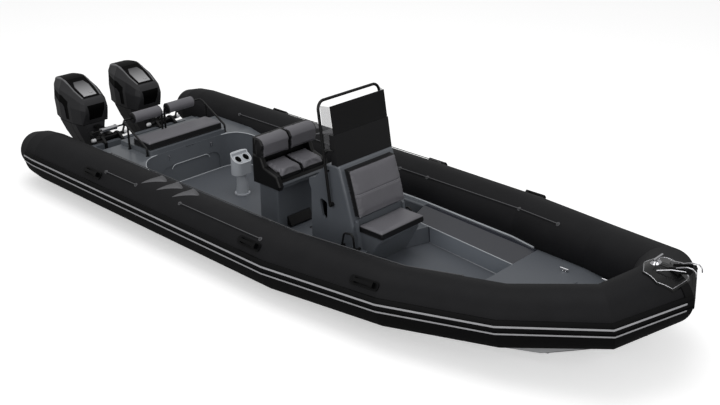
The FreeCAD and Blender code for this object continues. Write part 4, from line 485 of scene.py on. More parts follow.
# Corners of the pedestal's head: place from its middle, and the angle at which each starts
HEAD_CORNERS = ((0.013, 0.058, 0), (-0.013, 0.058, 90), (-0.013, -0.058, 180), (0.013, -0.058, 270))
rim_line = []
for centre_x, centre_y, start in HEAD_CORNERS:
    rim_line += arc_points((POD_X + centre_x, POD_Y + centre_y, 0), 0.070, start, start + 90, 8)
rim_line = [Vector((p.x, p.y, pod_height(p.x) - 0.001)) for p in rim_line]
pod_rim = tube_along("pedestal_rim", rim_line, 0.0055, pale_ring, True)
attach(pod_rim, "boat")

# ---------------------------------------------------------------- tubes
# The buoyancy tubes are made of rubber-coated fabric, glued edge to edge and blown up hard. The
# coating is matt and faintly mottled, and the base cloth's weave prints through.
coated_fabric = finish("coated_tube_fabric_matt", "#151517", Roughness=0.6, Specular_IOR_Level=0.16)
# Handling clouds the coating in patches 0.2 m across. The cloth's threads, 1 mm apart, are drawn
# 3.6 mm apart, so that they show as a fine twill.
mottle(coated_fabric, "Noise", (0.3, "#131315"), (0.7, "#171719"), Scale=5.0, Detail=5.0, Roughness=0.6)
relief(coated_fabric, "Wave", 0.08, 0.001, Scale=100.0, Distortion=0.6, bands_direction="DIAGONAL")
dress(coated_fabric, "tube_port", "tube_starboard")

# Axis of the port tube: x, distance from the centreline, height, radius
TUBE_AXIS = (
    (-0.500, 1.225, 0.380, 0.215),
    (-0.275, 1.225, 0.380, 0.279),
    (-0.050, 1.225, 0.380, 0.300),
    (4.150, 1.225, 0.380, 0.300),
    (5.50036, 1.10985, 0.4374, 0.28614),
    (6.56087, 0.84525, 0.5317, 0.275255),
    (7.33835, 0.50225, 0.6875, 0.267275),
    (7.560, 0.0, 0.790, 0.265),
)


def across_axes(along):
    """The outboard and upward directions across the port tube, where it runs along a direction."""
    outboard = UP.cross(along).normalized()
    if outboard.y < 0:
        outboard = -outboard
    upward = along.cross(outboard).normalized()
    return outboard, -upward if upward.z < 0 else upward


def tube_place(x):
    """Axis point, outboard and upward directions and radius of the port tube at x."""
    for low, high in zip(TUBE_AXIS, TUBE_AXIS[1:]):
        if low[0] <= x <= high[0]:
            share = (x - low[0]) / (high[0] - low[0])
            start, end = Vector(low[:3]), Vector(high[:3])
            along = (end - start).normalized()
            return start.lerp(end, share), *across_axes(along), low[3] + (high[3] - low[3]) * share
    return None


def over_tube(x, degrees, lift_by):
    """A point above the tube's skin, degrees outboard of its top."""
    point, outboard, upward, radius = tube_place(x)
    turn = math.radians(degrees)
    return point + (outboard * math.sin(turn) + upward * math.cos(turn)) * (radius + lift_by)


def strip_mesh(name, rows, thick, outward, material):
    """A closed thin strip: rows of points across it, each lifted by its outward direction."""
    verts = []
    for row, normals in zip(rows, outward):
        verts += [p + n * thick for p, n in zip(row, normals)]
    count = len(rows[0])
    base = len(verts)
    for row in rows:
        verts += list(row)
    faces = []
    for i in range(len(rows) - 1):
        for j in range(count - 1):
            a, b = i * count + j, (i + 1) * count + j
            faces.append((a, b, b + 1, a + 1))
            faces.append((base + a, base + a + 1, base + b + 1, base + b))
    edge = [i * count for i in range(len(rows))]
    for low, high in zip(edge, edge[1:]):
        faces.append((low, base + low, base + high, high))
        faces.append((low + count - 1, high + count - 1, base + high + count - 1, base + low + count - 1))
    for j in range(count - 1):
        faces.append((j, j + 1, base + j + 1, base + j))
        last = (len(rows) - 1) * count
        faces.append((last + j, base + last + j, base + last + j + 1, last + j + 1))
    return link_mesh(name, closed_mesh(name, verts, faces), material)


def mitred(index):
    """Where two of the tube's runs meet: the place, and the section's outboard and upward half axes."""
    here = Vector(TUBE_AXIS[index][:3])
    run_in = (here - Vector(TUBE_AXIS[index - 1][:3])).normalized()
    if index == len(TUBE_AXIS) - 1:
        return here, Vector((1.0 / abs(run_in.y), 0, 0)), UP
    run_out = (Vector(TUBE_AXIS[index + 1][:3]) - here).normalized()
    normal = (run_in + run_out).normalized()
    outboard, upward = across_axes(normal)
    return here, outboard / normal.dot(run_in), upward


# The deck moulding's rolled edge where it meets each tube is drawn as a pale bead, a painted highlight.
EDGE_Z = 0.346
EDGE_START = 1.960
EDGE_STEPS = 24
for side, name in SIDES:
    edge = []
    for step in range(EDGE_STEPS + 1):
        x = EDGE_START + (ledge_high.x - EDGE_START) * step / EDGE_STEPS
        point, outboard, upward, radius = tube_place(x)
        down = math.acos((EDGE_Z - point.z) / (radius * upward.z))
        skin = point - outboard * radius * math.sin(down) + upward * radius * math.cos(down)
        edge.append(Vector((skin.x, side * (skin.y - 0.004), skin.z)))
    side_bead = tube_along("side_deck_highlight_bead_" + name, edge, 0.011, coving_painted_highlight)
    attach(side_bead, "boat")

# ---------------------------------------------------------------- rubbing strakes
# Each strake is an extruded black rubber fender glued along the tube's outside; two pale
# vinyl cords are let into its ribs and run its whole length.
strake_rubber = finish("strake_rubber_extruded", "#070708", Roughness=0.55, Specular_IOR_Level=0.15)
# Lines that the extruder's die leaves along the rubber, 5 mm apart, draw out its highlights.
relief(strake_rubber, "Wave", 0.10, 0.001, Scale=60.0, Distortion=0.2, bands_direction="Z")
dress(strake_rubber, "strake_port", "strake_starboard", "bow_guard")

stripe_vinyl = finish("stripe_vinyl_satin", "#b2b2b5", Roughness=0.4)
# Scuffs about 70 mm long dull the vinyl here and there.
mottle(stripe_vinyl, "Noise", (0.0, "#a4a4a7"), (1.0, "#bdbdc0"), Scale=14.0, Detail=4.0)

# Stripes: middle and half width as shares of the tube's radius above its axis; how far they stand
# off the tube's skin, and their thickness
STRIPES = (("upper", 0.14, 0.030), ("lower", -0.10, 0.026))
STRIPE_LIFT = 0.0212
STRIPE_THICK = 0.0022
_, guard_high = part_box("bow_guard")
for side, side_name in SIDES:
    for label, middle, half in STRIPES:
        rows, normals = [], []
        for index in range(1, len(TUBE_AXIS)):
            here, outboard, upward = mitred(index)
            radius = TUBE_AXIS[index][3]
            row, lifts = [], []
            for share in (middle - half, middle, middle + half):
                sine = share * radius / ((radius + STRIPE_LIFT) * upward.z)
                out = outboard * math.sqrt(1.0 - sine * sine) + upward * sine
                row.append(here + out * (radius + STRIPE_LIFT))
                lifts.append(out.normalized())
            rows.append(row)
            normals.append(lifts)
        # Each stripe ends where the stem's guard begins.
        for i, (before, last) in enumerate(zip(rows[-2], rows[-1])):
            part = (before.y - guard_high.y - 0.002) / (before.y - last.y)
            rows[-1][i] = before.lerp(last, part)
            normals[-1][i] = normals[-2][i].lerp(normals[-1][i], part).normalized()
        rows = [[on_side(p, side) for p in row] for row in rows]
        normals = [[on_side(n, side) for n in row] for row in normals]
        stripe = strip_mesh(f"stripe_{side_name}_{label}", rows, STRIPE_THICK, normals, stripe_vinyl)
        for face in stripe.data.polygons:
            face.use_smooth = False
        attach(stripe, "boat")

# ---------------------------------------------------------------- handles, lifelines, grips
# Carrying handles are moulded rubber grips on glued pads; the lifelines are braided cord drawn
# taut between round patches; the fins beside the cockpit are ribbed grip pads.
moulded_rubber = finish("handle_rubber_moulded", "#040405", Roughness=0.42, Specular_IOR_Level=0.15)
# Grain of 1 mm in the rubber, drawn at 4 mm, so that it breaks up the shine.
relief(moulded_rubber, "Voronoi", 0.12, 0.001, Scale=260.0)
dress(moulded_rubber, "tube_handles", "bow_handle_port", "bow_handle_starboard")

braided_cord = finish("lifeline_cord_braided", "#4b4b4e", Roughness=0.6)
# The braid's strands repeat every 8 mm along the cord and show as light and dark bands.
mottle(braided_cord, "Wave", (0.0, "#38383a"), (1.0, "#606063"), Scale=80.0, bands_direction="DIAGONAL")
dress(braided_cord, "lifelines")

# The grip pads are cut from ribbed rubber sheet as fins, three on each tube, and glued down.
grip_rubber = finish("grip_pad_rubber_ribbed", "#58585b", Roughness=0.6)
# Ribs moulded 8 mm apart give the pads their fine stripes.
relief(grip_rubber, "Wave", 0.25, 0.001, Scale=40.0, bands_direction="X")
dress(grip_rubber, "grip_patches")

FIN_X = 2.000
FIN_PITCH = 0.280
FIN_THICK = 0.003
# Outline of a fin: degrees outboard of the tube's top, then its back and front edges' distance ahead
# of its tip
FIN = ((30, 0.000, 0.006), (12, 0.045, 0.146), (-1, 0.062, 0.250), (-5, 0.062, 0.250), (-14, 0.050, 0.165),
       (-24, 0.008, 0.068), (-32, -0.040, -0.034))


def stations(plan, pitch):
    """Rows of figures along a plan, in even steps of about a pitch in their first figure."""
    for low, high in zip(plan, plan[1:]):
        steps = max(1, round(abs(high[0] - low[0]) / pitch))
        for step in range(steps + (high is plan[-1])):
            yield [a + (b - a) * (step / steps) for a, b in zip(low, high)]


for side, name in SIDES:
    for number in range(3):
        rows, normals = [], []
        for degrees, *edges in stations(FIN, 3):
            turn = math.radians(degrees)
            starts = [over_tube(FIN_X + FIN_PITCH * number + edge, degrees, -0.0005) for edge in edges]
            rows.append([on_side(start, side) for start in starts])
            normals.append([Vector((0, side * math.sin(turn), math.cos(turn)))] * 2)
        fin = strip_mesh(f"grip_fin_{name}_{number + 1}", rows, FIN_THICK, normals, grip_rubber)
        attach(fin, "boat")
        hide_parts("grip_patches")

# ---------------------------------------------------------------- console
# The console is the same blue-grey moulding. Its windscreen is tinted acrylic over a black
# panel, both let into a black powder-coated steel hoop.
powder_coat = finish("steel_tube_powder_coated", "#070708", Roughness=0.4, IOR=1.4)
# The powder's orange peel, about 3 mm across, dulls the highlight along each bend.
relief(powder_coat, "Noise", 0.12, 0.001, Scale=300.0, Detail=1.0)
dress(powder_coat, "console_rail", "grab_hoops", "bench_frame")

tinted_acrylic = finish("screen_acrylic_tinted", "#141415", Roughness=0.12, IOR=1.45, Alpha=0.975)
# A slight wave in the sheet, 0.33 m long, bends what it mirrors.
relief(tinted_acrylic, "Noise", 0.02, 0.001, Scale=3.0, Detail=1.0)
dress(tinted_acrylic, "screen_glass")

black_acrylic = finish("screen_panel_acrylic_black", "#101012", Roughness=0.3, IOR=1.45)
# The bent sheet's wave, 0.17 m long, makes its shine uneven.
relief(black_acrylic, "Noise", 0.03, 0.001, Scale=6.0, Detail=1.0)
dress(black_acrylic, "screen_band")

clear_acrylic = finish("screen_wing_acrylic_clear", "#6a6a6c", Roughness=0.05, IOR=1.4, Alpha=0.30)
# The same slight wave as the tinted sheet's.
relief(clear_acrylic, "Noise", 0.02, 0.001, Scale=3.0, Detail=1.0)

# Clear wings close the gap between the tinted pane's ends and the hoop: x, share of the way out to
# the hoop, z
WING = ((3.998, 0.0, 1.748), (3.904, 1.0, 1.748), (3.975, 1.0, 1.300),
        (4.014, 0.3, 1.300), (4.004, 0.25, 1.457), (4.052, 0.0, 1.457))
WING_INNER, WING_THICK, WING_REACH = 0.4095, 0.003, 0.0345
for side, name in SIDES:
    verts = [(x, side * (start + WING_REACH * out), z)
             for start in (WING_INNER, WING_INNER + WING_THICK) for x, out, z in WING]
    faces = [tuple(range(6)), tuple(range(11, 5, -1))]
    faces += [(i, 6 + i, 6 + (i + 1) % 6, (i + 1) % 6) for i in range(6)]
    wing_mesh = closed_mesh("screen_wing_" + name, verts, faces, False)
    wing = link_mesh("screen_wing_" + name, wing_mesh, clear_acrylic)
    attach(wing, "boat")

moulded_abs = finish("abs_moulded_black", "#0a0a0b", Roughness=0.42, IOR=1.4)
# Spark-eroded grain about 2 mm across gives a broken sheen.
relief(moulded_abs, "Noise", 0.15, 0.0008, Scale=420.0, Detail=2.0)
dress(moulded_abs, "steering_wheel", "throttle_box", "helm_seat_shell", "helm_footrest")

# ---------------------------------------------------------------- cushions
# Every pad is foam in marine vinyl: a smooth mid-grey top, a darker side panel and a black
# piping cord sewn into the seam between them.
vinyl_top = finish(
    "marine_vinyl_grey", "#626166", Roughness=0.46, Sheen_Weight=0.08, Sheen_Roughness=0.4)
# Embossed grain, 1 mm in the vinyl, drawn at 3 mm, spreads the shine; rubbing has shaded the vinyl in
# patches 0.17 m across.
mottle(vinyl_top, "Noise", (0.0, "#5e5d62"), (1.0, "#67666b"), Scale=6.0, Detail=3.0)
relief(vinyl_top, "Voronoi", 0.14, 0.001, Scale=330.0)

vinyl_side = finish("marine_vinyl_dark", "#101012", Roughness=0.5, IOR=1.4)
# The same grain, 1 mm in the vinyl and drawn at 3 mm.
relief(vinyl_side, "Voronoi", 0.14, 0.001, Scale=330.0)

piping_vinyl = finish("piping_vinyl_black", "#070708", Roughness=0.4)
# Fine grain 2 mm across breaks up the cord's shine; the seam's has the same.
relief(piping_vinyl, "Noise", 0.1, 0.0005, Scale=500.0)

seam_vinyl = finish("seam_vinyl_pale", "#8a8a8f", Roughness=0.45)
relief(seam_vinyl, "Noise", 0.1, 0.0005, Scale=500.0)


def welded(node):
    """A CAD node's mesh with its doubled corners joined, in bmesh."""
    bm = bmesh.new()
    bm.from_mesh(nodes[node].data)
    bmesh.ops.remove_doubles(bm, verts=bm.verts, dist=1e-5)
    bmesh.ops.recalc_face_normals(bm, faces=bm.faces)
    return bm


def solids_of(node):
    """Each separate solid of a CAD node as a mesh, starboard first."""
    bm = welded(node)
    bm.faces.ensure_lookup_table()
    seen, groups = set(), []
    for face in bm.faces:
        if face.index in seen:
            continue
        group, queue = [], [face]
        seen.add(face.index)
        while queue:
            here = queue.pop()
            group.append(here)
            for edge in here.edges:
                for other in edge.link_faces:
                    if other.index not in seen:
                        seen.add(other.index)
                        queue.append(other)
        groups.append(group)
    meshes = []
    for group in groups:
        verts = sorted({v.index for face in group for v in face.verts})
        place = {v: i for i, v in enumerate(verts)}
        bm.verts.ensure_lookup_table()
        mesh = bpy.data.meshes.new(node)
        mesh.from_pydata([tuple(bm.verts[v].co) for v in verts], [],
                         [tuple(place[v.index] for v in face.verts) for face in group])
        meshes.append(mesh)
    bm.free()
    return sorted(meshes, key=lambda m: sum(v.co.y for v in m.vertices) / len(m.vertices))


def settled(piece):
    """The piece's mesh with its modifiers worked out."""
    bpy.context.view_layer.update()
    return bpy.data.meshes.new_from_object(piece.evaluated_get(bpy.context.evaluated_depsgraph_get()))


def extent(mesh):
    """The lowest and the highest corner of a mesh."""
    spread = [[v.co[i] for v in mesh.vertices] for i in range(3)]
    return Vector([min(s) for s in spread]), Vector([max(s) for s in spread])


# How far a face's normal has to point at the seat for the face to stay put, and the cloth's run
SEATED = 0.6
CLOTH_FRAMES = 20


def stuffed(name, mesh, resting, grow, voxel=0.010, shrink=0.004, sweep=0.012):
    """A pad: the CAD solid remeshed, drawn in, blown up by cloth under pressure and held to its seat.

    resting is the direction towards what carries it; grow is how far it may swell past the solid."""
    piece = link_mesh(name, mesh)
    low, high = extent(mesh)
    remesh = piece.modifiers.new("even_mesh", "REMESH")
    remesh.mode = "VOXEL"
    remesh.voxel_size = voxel
    smooth = piece.modifiers.new("soft_corners", "SMOOTH")
    smooth.factor = 0.5
    smooth.iterations = 3
    even = settled(piece)
    piece.modifiers.clear()
    piece.data = even
    start = [v.co.copy() for v in even.vertices]
    normals = [v.normal.copy() for v in even.vertices]
    for vert, normal in zip(even.vertices, normals):
        if normal.dot(resting) < SEATED:
            vert.co = vert.co - normal * shrink
    cloth = piece.modifiers.new("blown_up", "CLOTH")
    cloth.settings.quality = 4
    cloth.settings.mass = 0.3
    cloth.settings.tension_stiffness = 12
    cloth.settings.compression_stiffness = 12
    cloth.settings.bending_stiffness = 0.6
    cloth.settings.use_pressure = True
    cloth.settings.uniform_pressure_force = 4.0
    cloth.settings.effector_weights.gravity = 0.0
    cloth.point_cache.frame_start = 1
    cloth.point_cache.frame_end = CLOTH_FRAMES
    for number in range(1, CLOTH_FRAMES + 1):
        bpy.context.scene.frame_set(number)
    blown = settled(piece)
    piece.modifiers.clear()
    ends = [v.co.copy() for v in blown.vertices]
    bpy.context.scene.frame_set(1)
    for vert, home, end, normal in zip(even.vertices, start, ends, normals):
        if normal.dot(resting) >= SEATED:
            vert.co = home
            continue
        step = end - home
        if step.length > sweep:
            step = step.normalized() * sweep
        place = home + step
        for i in range(3):
            place[i] = min(max(place[i], low[i] - grow[i]), high[i] + grow[i])
        under = (home - place).dot(-resting)
        if under > 0 and normal.dot(resting) > -0.2:
            place = place + resting * -under * 0.5
        vert.co = place
    round_off = piece.modifiers.new("finer_mesh", "SUBSURF")
    round_off.levels = 1
    round_off.render_levels = 1
    final = settled(piece)
    piece.modifiers.clear()
    piece.data = final
    for face in final.polygons:
        face.use_smooth = True
    return piece


def crossing(bm, point, normal):
    """The closed line where a plane cuts a shape, as points in order; uses the bmesh up."""
    whole = bm.verts[:] + bm.edges[:] + bm.faces[:]
    cut = bmesh.ops.bisect_plane(bm, geom=whole, plane_co=point, plane_no=normal)
    edges = [e for e in cut["geom_cut"] if isinstance(e, bmesh.types.BMEdge)]
    beside = {}
    for edge in edges:
        a, b = edge.verts
        beside.setdefault(a, []).append(b)
        beside.setdefault(b, []).append(a)
    longest = []
    # Kept in the order of the cut, so that every run starts its line at the same corner
    left = dict.fromkeys(beside)
    while left:
        first = next(iter(left))
        del left[first]
        line = [first]
        while True:
            step = [v for v in beside[line[-1]] if v in left]
            if not step:
                break
            del left[step[0]]
            line.append(step[0])
        if len(line) > len(longest):
            longest = line
    points = [v.co.copy() for v in longest]
    bm.free()
    return points


def spaced(points, step):
    """The same line with points about a step apart."""
    kept = [points[0]]
    for point in points[1:]:
        if (point - kept[-1]).length >= step:
            kept.append(point)
    return kept


def piping(piece, name, point, normal, radius, material, body, top=None):
    """A cord along the line where a plane cuts a pad: all round, or only its top side."""
    bm = bmesh.new()
    bm.from_mesh(piece.data)
    line = spaced(crossing(bm, point, normal), 0.012)
    closed = top is None
    if not closed:
        shown = [p for p in line if top(p)]
        if len(shown) < 2:
            return None
        gaps = [(shown[(i + 1) % len(shown)] - shown[i]).length for i in range(len(shown))]
        turn = gaps.index(max(gaps)) + 1
        line = shown[turn:] + shown[:turn]
    cord = tube_along(name, line, radius, material, closed, 3)
    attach(cord, body)
    return cord


def panelled(piece, point, normal, body, node):
    """Grey vinyl on one side of the seam plane, dark vinyl on the other; rides and replaces."""
    piece.data.materials.clear()
    piece.data.materials.append(vinyl_top)
    piece.data.materials.append(vinyl_side)
    for face in piece.data.polygons:
        face.material_index = 0 if (face.center - point).dot(normal) > 0 else 1
    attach(piece, body)
    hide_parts(node)


def side_panels(piece, inner, outer):
    """Dark vinyl on a pad's two ends: nearer the centreline than inner, or further out than outer."""
    for face in piece.data.polygons:
        if abs(face.center.y) < inner or abs(face.center.y) > outer:
            face.material_index = 1


def channel(piece, point, normal, facing, deep=0.006, wide=0.010):
    """Draws a sewn channel into a pad along a plane, on the side that faces one way."""
    mesh = piece.data
    lifts = [v.normal.copy() for v in mesh.vertices]
    for vert, lift_by in zip(mesh.vertices, lifts):
        off = (vert.co - point).dot(normal)
        if abs(off) < 3 * wide and lift_by.dot(facing) > 0.1:
            vert.co = vert.co - lift_by * (deep * math.exp(-(off / wide) ** 2))


DOWN = -UP
CORD = 0.0035

# Bench cushion
bench_pad = stuffed("bench_pad", solids_of("bench_cushion")[0], DOWN, (0.003, 0.003, 0.006), 0.012)
low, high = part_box("bench_cushion")
seam = Vector((0, 0, high.z - 0.020))
panelled(bench_pad, seam, UP, "bench_lid", "bench_cushion")
piping(bench_pad, "bench_pad_piping", seam, UP, CORD, piping_vinyl, "bench_lid")
seam = Vector((0, 0, low.z + 0.012))
piping(bench_pad, "bench_pad_lower_piping", seam, UP, 0.003, piping_vinyl, "bench_lid")

# Console seat cushion
seat_solid = solids_of("console_seat_cushion")[0]
seat_pad = stuffed("console_seat_pad", seat_solid, DOWN, (0.002, 0.004, 0.008))
low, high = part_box("console_seat_cushion")
seam = Vector((0, 0, high.z - 0.016))
panelled(seat_pad, seam, UP, "boat", "console_seat_cushion")
piping(seat_pad, "console_seat_piping", seam, UP, CORD, piping_vinyl, "boat")

# Console backrest: two panels with a pale seam across the middle, dark sides
low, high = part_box("console_backrest")
behind = Vector((-0.94, 0, -0.34)).normalized()
back_pad = stuffed("console_back_pad", solids_of("console_backrest")[0], behind, (0.004, 0.004, 0.004))
lean = Vector((high.x - low.x - 0.084, 0, -(high.z - low.z))).normalized()
front = Vector((-lean.z, 0, lean.x)).normalized()
seam = Vector((high.x - 0.024, 0, low.z + 0.02))
panelled(back_pad, seam, front, "boat", "console_backrest")
piping(back_pad, "console_back_piping", seam, front, 0.004, piping_vinyl, "boat")
middle = Vector((0.5 * (low.x + high.x), 0, 0.5 * (low.z + high.z) - 0.01))
channel(back_pad, middle, UP, front)
piping(back_pad, "console_back_seam", middle, UP, 0.003, seam_vinyl, "boat",
       lambda p: (p - seam).dot(front) > 0.002)

# Helm seat: two seat pads and two backrests
# Node, piece, direction of the seat, direction of the grey face, and where the outer panel starts
HELM_INNER = 0.024
HELM_PADS = (
    ("helm_cushions", "helm_pad", DOWN, Vector((0.30, 0, 0.95)).normalized(), 0.320),
    ("helm_backrests", "helm_back", Vector((-1, 0, 0)), Vector((0.97, 0, 0.24)).normalized(), 0.400),
)
for node, name, resting, facing, outer in HELM_PADS:
    for mesh, label in zip(solids_of(node), ("starboard", "port")):
        pad = stuffed(f"{name}_{label}", mesh, resting, (0.004, 0.0015, 0.006))
        low, high = extent(pad.data)
        seam = Vector((low.x + 0.06, 0, 0.5 * (low.z + high.z)))
        if resting == DOWN:
            seam = Vector((high.x - 0.02, 0, high.z - 0.095))
        panelled(pad, seam, facing, "boat", node)
        side_panels(pad, HELM_INNER, outer)
        piping(pad, f"{name}_piping_{label}", seam, facing, CORD, piping_vinyl, "boat")

# Back rolls of the stern bench: dark discs close the ends of a grey sleeve
for mesh, label in zip(solids_of("bench_bolsters"), ("starboard", "port")):
    roll = stuffed("bench_roll_" + label, mesh, Vector((0, 0, 0)), (0.004, 0.002, 0.004), 0.009, 0.002, 0.006)
    low, high = extent(roll.data)
    roll.data.materials.append(vinyl_top)
    roll.data.materials.append(vinyl_side)
    for face in roll.data.polygons:
        end = min(face.center.y - low.y, high.y - face.center.y)
        face.material_index = 1 if end < 0.010 else 0
    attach(roll, "boat")
    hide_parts("bench_bolsters")
    for end, y in (("inner", low.y + 0.011), ("outer", high.y - 0.011)):
        piping(roll, f"bench_roll_piping_{label}_{end}", Vector((0, y, 0)), Vector((0, 1, 0)), 0.003,
               piping_vinyl, "boat")

# ---------------------------------------------------------------- chrome fittings
# Cleats, eyes, latches and the anchor roller are cast or bent stainless steel, polished bright.
polished_stainless = finish("stainless_polished", "#c9c9cc", Metallic=1.0, Roughness=0.14)
# Polishing swirls about 17 mm across keep the mirror from being perfect.
relief(polished_stainless, "Noise", 0.04, 0.001, Scale=60.0, Detail=3.0)
dress(polished_stainless, "deck_fittings")

# A plate screwed to the sole ahead of the helm seat covers the cable duct.
duct_plate = lathe("sole_duct_plate", Vector((3.30, 0, sole_z - 0.001)), UP,
                   ((0, 0), (0.034, 0), (0.034, 0.003), (0.028, 0.006), (0, 0.006)), polished_stainless)
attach(duct_plate, "boat")

# ---------------------------------------------------------------- bow plate
# The stem carries a moulded black plate with a bright edge trim. On it stand a domed chrome
# vent, two rails that run forward to the anchor roller, and the roller's keeper.
plate_plastic = finish("bow_plate_plastic_black", "#0d0d0e", Roughness=0.24, IOR=1.45)
# Sinks left by the moulding, about 42 mm across, ripple what it mirrors.
relief(plate_plastic, "Noise", 0.12, 0.002, Scale=24.0, Detail=2.0)
dress(plate_plastic, "bow_plate", "bow_roller")


def surface_of(node):
    """A CAD node's surface to drop points on."""
    mesh = nodes[node].data
    places = [v.co.copy() for v in mesh.vertices]
    return BVHTree.FromPolygons(places, [tuple(f.vertices) for f in mesh.polygons])


plate_surface = surface_of("bow_plate")


def on_plate(x, y, lift_by=0.0):
    """The point of the bow plate below a place, lifted along its slope, and the slope."""
    point, normal, _, _ = plate_surface.ray_cast(Vector((x, y, 3.0)), -UP)
    return point + normal * lift_by, normal


# Half plan of the trim: x, distance from the centreline
TRIM_PLAN = ((7.380, 0.0), (7.474, 0.182), (7.617, 0.211), (7.730, 0.144), (7.776, 0.0))
TRIM_STEPS = 8
trim_corners = [Vector(p) for p in TRIM_PLAN] + [Vector((x, -y)) for x, y in TRIM_PLAN[-2:0:-1]]
trim_line = []
for start, end in zip(trim_corners, trim_corners[1:] + trim_corners[:1]):
    trim_line += [on_plate(*start.lerp(end, step / TRIM_STEPS), 0.001)[0] for step in range(TRIM_STEPS)]
plate_trim = tube_along("bow_plate_trim", trim_line, 0.0035, polished_stainless, True)
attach(plate_trim, "boat")

vent_place, vent_slope = on_plate(7.495, -0.015, -0.004)
vent = lathe("bow_vent", vent_place, vent_slope,
             ((0, 0), (0.048, 0), (0.048, 0.008), (0.040, 0.012), (0.030, 0.020), (0.014, 0.026), (0, 0.027)),
             polished_stainless)
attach(vent, "boat")

# Rails from the plate to the roller, arched a little, and the keeper's side view over the roller
RAIL_FOOT, RAIL_END = (7.560, 0.120), (7.790, 0.056, 1.090)
RAIL_ARCH = UP * 0.012
ROD_RADIUS = 0.006
KEEPER_Y = 0.0555
KEEPER = ((7.700, 1.095), (7.750, 1.118), (7.800, 1.134), (7.845, 1.134), (7.872, 1.112), (7.878, 1.075))
for side, name in SIDES:
    start = on_plate(RAIL_FOOT[0], side * RAIL_FOOT[1], 0.010)[0]
    end = on_side(Vector(RAIL_END), side)
    rail_line = [start, start.lerp(end, 0.5) + RAIL_ARCH, end]
    rail = tube_along("roller_rail_" + name, rail_line, ROD_RADIUS, polished_stainless)
    keeper_line = [Vector((x, side * KEEPER_Y, z)) for x, z in KEEPER]
    keeper = tube_along("roller_keeper_" + name, keeper_line, ROD_RADIUS, polished_stainless)
    for piece in (rail, keeper):
        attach(piece, "boat")

# ---------------------------------------------------------------- outboards
# Each outboard has a pressed-on cowl in dark grey metallic paint, black trim let into it, a
# black painted leg and gearcase, and a cast stainless propeller.
satin_grey = finish("cowl_paint_grey_satin", "#2d2d2f", Roughness=0.42, Specular_IOR_Level=0.3)
# Metallic flake of a few hundredths of a millimetre, drawn at 1.5 mm, gives the paint its grain.
mottle(satin_grey, "Noise", (0.35, "#2a2a2c"), (0.65, "#303032"), Scale=650.0, Detail=1.0)

gloss_black = finish("leg_paint_black_gloss", "#0b0b0c", Roughness=0.34, IOR=1.4)
# The casting's skin under the paint, 11 mm from lump to lump, breaks up the gloss.
relief(gloss_black, "Noise", 0.06, 0.001, Scale=90.0, Detail=2.0)

trim_black = finish("cowl_trim_plastic_black", "#030303", Roughness=0.5, Specular_IOR_Level=0.06)
# Moulded grain 2.4 mm across keeps the trim dull.
relief(trim_black, "Noise", 0.12, 0.0008, Scale=420.0, Detail=2.0)

cast_steel = finish("propeller_stainless_cast", "#a9a9ac", Metallic=1.0, Roughness=0.28)
# Hollows 12 mm across, left by grinding the casting, scatter its shine.
relief(cast_steel, "Noise", 0.08, 0.001, Scale=80.0, Detail=2.0)

# The roof panel is silver, but its colour runs from graphite at its aft end to silver at its front over 0.28
# m: a painted reflection, brighter towards the front.
panel_silver_painted_reflection = finish("cowl_panel_silver_painted_reflection", "#77777a", Roughness=0.35, Metallic=0.2)
panel_tree = panel_silver_painted_reflection.node_tree
panel_spot = add_node(panel_tree, "ShaderNodeTexCoord")
panel_parts = add_node(panel_tree, "ShaderNodeSeparateXYZ", links={"Vector": panel_spot.outputs["Object"]})
panel_painted_reflection_fade = add_node(panel_tree, "ShaderNodeMapRange", {"From Min": -0.640, "From Max": -0.360},
                      {"Value": panel_parts.outputs["X"]})
graded(panel_tree, panel_painted_reflection_fade.outputs["Result"], (0.0, "#48484a"), (1.0, "#b4b4b6"))

# A lighter grey than the cowl's: a painted highlight for the shoulders' lit edges.
shoulder_painted_highlight = finish("cowl_shoulder_painted_highlight", "#646466", Roughness=0.4, Specular_IOR_Level=0.4)
# The cowl's flake, a few hundredths of a millimetre and drawn at 1.5 mm too, over the painted highlight's
# lighter grey.
mottle(shoulder_painted_highlight, "Noise", (0.0, "#5f5f61"), (1.0, "#6a6a6c"), Scale=650.0, Detail=1.0)

white_nylon = finish("tilt_cap_nylon_white", "#d4d4d6", Roughness=0.4)
# Moulded grain 5 mm across dulls the white.
relief(white_nylon, "Noise", 0.08, 0.001, Scale=200.0, Detail=1.0)

dress(gloss_black, "engine_clamps")
# Half plan of the silver panel in the cowl's roof: x, half breadth
PANEL_PLAN = ((-0.640, 0.086), (-0.560, 0.122), (-0.362, 0.110))
# Half plan of the cowl's shoulder band: x, half breadth of its middle
SHOULDER_PLAN = ((-1.060, 0.068), (-1.000, 0.094), (-0.760, 0.142), (-0.500, 0.146), (-0.350, 0.126))
SHOULDER_HALF = 0.020
OVERHEAD = 2.0
PLAN_PITCH = 0.020
# The joint down the lower cowl: its two edges, its top, how far it runs down, and its rake
JOINT_X = (-0.5625, -0.5590)
JOINT_TOP, JOINT_DROP, JOINT_RAKE = 0.552, 0.40, 0.10
JOINT_STEPS = 16
# Height of the rubber seal between the cowls, and places from the engine's own middle
SEAL_Z = 0.5625
FILLER_PLACE = (-0.430, 0.040)
TILT_CAP_PLACE = (-0.022, 0.2125, 0.446)
